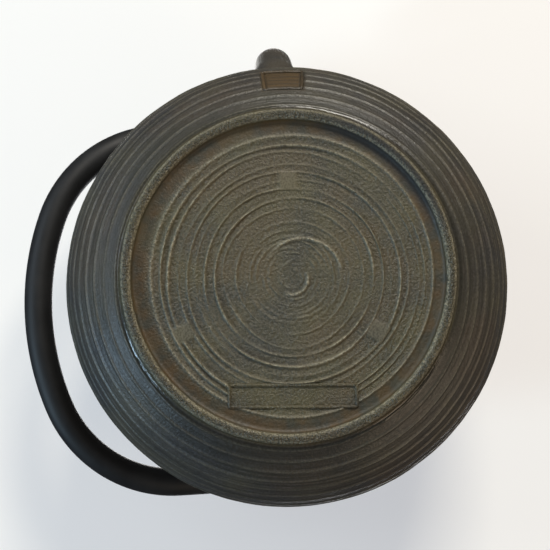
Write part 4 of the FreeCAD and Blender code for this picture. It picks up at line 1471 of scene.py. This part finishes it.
# Corners of a level square, and of one square over another, as seen from the front
FACING_UP = ((0, 1, 2, 3),)
FACING_DOWN = ((3, 2, 1, 0),)
FACING_IN = ((0, 4, 5, 1), (1, 5, 6, 2), (2, 6, 7, 3), (3, 7, 4, 0))
LAMP_TARGET = (0.0, 0.0, 0.04)
# Name, place, size, power and colour of each lamp
LAMPS = (
    ("top_of_picture", (1.04, 0.30, -0.84), 0.5, 21.5, (1.0, 0.95, 0.86)),
    ("left_of_picture", (0.45, -1.00, -0.66), 0.7, 6.0, (0.76, 0.88, 1.0)),
    ("low_left", (-0.36, -0.94, -0.36), 0.2, 6.5, (0.55, 0.79, 1.0)),
    ("low_right", (-0.72, 0.78, -0.42), 0.6, 4.5, (1.0, 0.80, 0.58)),
    ("above_spout", (0.30, -0.12, 1.45), 0.8, 14.0, (1.0, 0.98, 0.95)),
    ("above_back", (-0.3, 0.2, 1.35), 0.8, 8.0, (0.95, 0.97, 1.0)),
)
SENSOR_WIDTH = 36.0
NEAREST_SEEN = 0.01


def one_sided_material(name, rgb, shade, glow):
    """A pale surface seen on its front only, which partly glows so that shadows on it stay light."""
    pale = Finish(name)
    pale.dress({"Base Color": opaque(rgb, 1 - glow), "Roughness": 0.9, "Specular IOR Level": 0.2,
                "Emission Color": opaque(shade), "Emission Strength": glow})
    clear = pale.add("ShaderNodeBsdfTransparent").outputs["BSDF"]
    behind = pale.add("ShaderNodeNewGeometry").outputs["Backfacing"]
    either = pale.add("ShaderNodeMixShader")
    for socket, value in zip(either.inputs, (behind, pale.skin.outputs["BSDF"], clear)):
        pale.connect(socket, value)
    pale.connect(pale.tree.nodes["Material Output"].inputs["Surface"], either.outputs["Shader"])
    return pale.material


def square(half, height):
    """The corners of a level square."""
    return [(x * half, y * half, height) for x, y in SQUARE_CORNERS]


def add_surface(name, corners, faces, material):
    """A plain surface of the stage, which neither shades the pot nor lights it."""
    mesh = bpy.data.meshes.new(name)
    mesh.from_pydata(corners, [], faces)
    mesh.materials.append(material)
    surface = bpy.data.objects.new(name, mesh)
    surface.visible_shadow = False
    surface.visible_diffuse = False
    surface.visible_glossy = False
    bpy.context.scene.collection.objects.link(surface)


def add_lamp(name, spot, size, power, rgb):
    """A soft square lamp that looks at the pot."""
    data = bpy.data.lights.new(name, "AREA")
    data.shape = "SQUARE"
    data.size = size
    data.energy = power
    data.color = rgb
    lamp = bpy.data.objects.new(name, data)
    lamp.location = spot
    lamp.rotation_euler = (Vector(LAMP_TARGET) - Vector(spot)).to_track_quat("-Z", "Y").to_euler()
    bpy.context.scene.collection.objects.link(lamp)


class TEAPOT_OT_stage(Operator):
    """Make the pale surfaces, the lamps and the camera"""

    bl_idname = "teapot.stage"
    bl_label = "Stage"

    def execute(self, context):
        scene = context.scene
        stage = scene.teapot_stage
        table = one_sided_material("table", stage.table, stage.table_shade, TABLE_GLOW)
        add_surface("table", square(TABLE_HALF, stage.table_height), FACING_DOWN, table)
        floor = one_sided_material("floor", stage.floor, stage.floor, FLOOR_GLOW)
        floor_corners = square(FLOOR_HALF, FLOOR_HEIGHT)
        add_surface("floor", floor_corners, FACING_UP, floor)
        add_surface("backdrop", floor_corners + square(FLOOR_HALF, BACKDROP_TOP), FACING_IN, floor)
        for lamp in LAMPS:
            add_lamp(*lamp)
        self.add_sky(scene, stage)
        self.add_camera(scene, stage)
        scene.view_settings.view_transform = "Standard"
        return {"FINISHED"}

    def add_sky(self, scene, stage):
        world = bpy.data.worlds.new("sky")
        world.use_nodes = True
        background = world.node_tree.nodes["Background"]
        background.inputs["Color"].default_value = opaque(stage.sky)
        background.inputs["Strength"].default_value = stage.sky_strength
        scene.world = world

    def add_camera(self, scene, stage):
        data = bpy.data.cameras.new("camera")
        data.sensor_width = SENSOR_WIDTH
        data.lens = stage.camera_lens
        data.clip_start = NEAREST_SEEN
        camera = bpy.data.objects.new("camera", data)
        back = -Vector(stage.camera_ahead).normalized()
        right = Vector(stage.camera_up).cross(back).normalized()
        turn = Matrix((right, back.cross(right), back)).transposed().to_4x4()
        camera.matrix_world = Matrix.Translation(stage.camera_place) @ turn
        scene.collection.objects.link(camera)
        scene.camera = camera


OPERATORS = (TEAPOT_OT_casting, TEAPOT_OT_bail, TEAPOT_OT_lid, TEAPOT_OT_infuser, TEAPOT_OT_stage)


class TEAPOT_PT_pieces(Panel):
    """The teapot's pieces and their settings"""

    bl_idname = "TEAPOT_PT_pieces"
    bl_label = "Cast iron teapot"
    bl_space_type = "VIEW_3D"
    bl_region_type = "UI"
    bl_category = "Teapot"

    def draw(self, context):
        for (name, group), operator in zip(GROUPS.items(), OPERATORS):
            box = self.layout.box()
            box.operator(operator.bl_idname)
            for setting in group.__annotations__:
                box.prop(getattr(context.scene, name), setting)


CLASSES = (*GROUPS.values(), *OPERATORS, TEAPOT_PT_pieces)


def register():
    for kind in CLASSES:
        bpy.utils.register_class(kind)
    for name, group in GROUPS.items():
        setattr(bpy.types.Scene, name, PointerProperty(type=group))


def unregister():
    for name in GROUPS:
        delattr(bpy.types.Scene, name)
    for kind in reversed(CLASSES):
        bpy.utils.unregister_class(kind)


def main():
    register()
    bpy.ops.teapot.casting()
    bpy.ops.teapot.bail()
    bpy.ops.teapot.lid()
    bpy.ops.teapot.infuser()
    bpy.ops.teapot.stage()


if __name__ == "__main__":
    main()
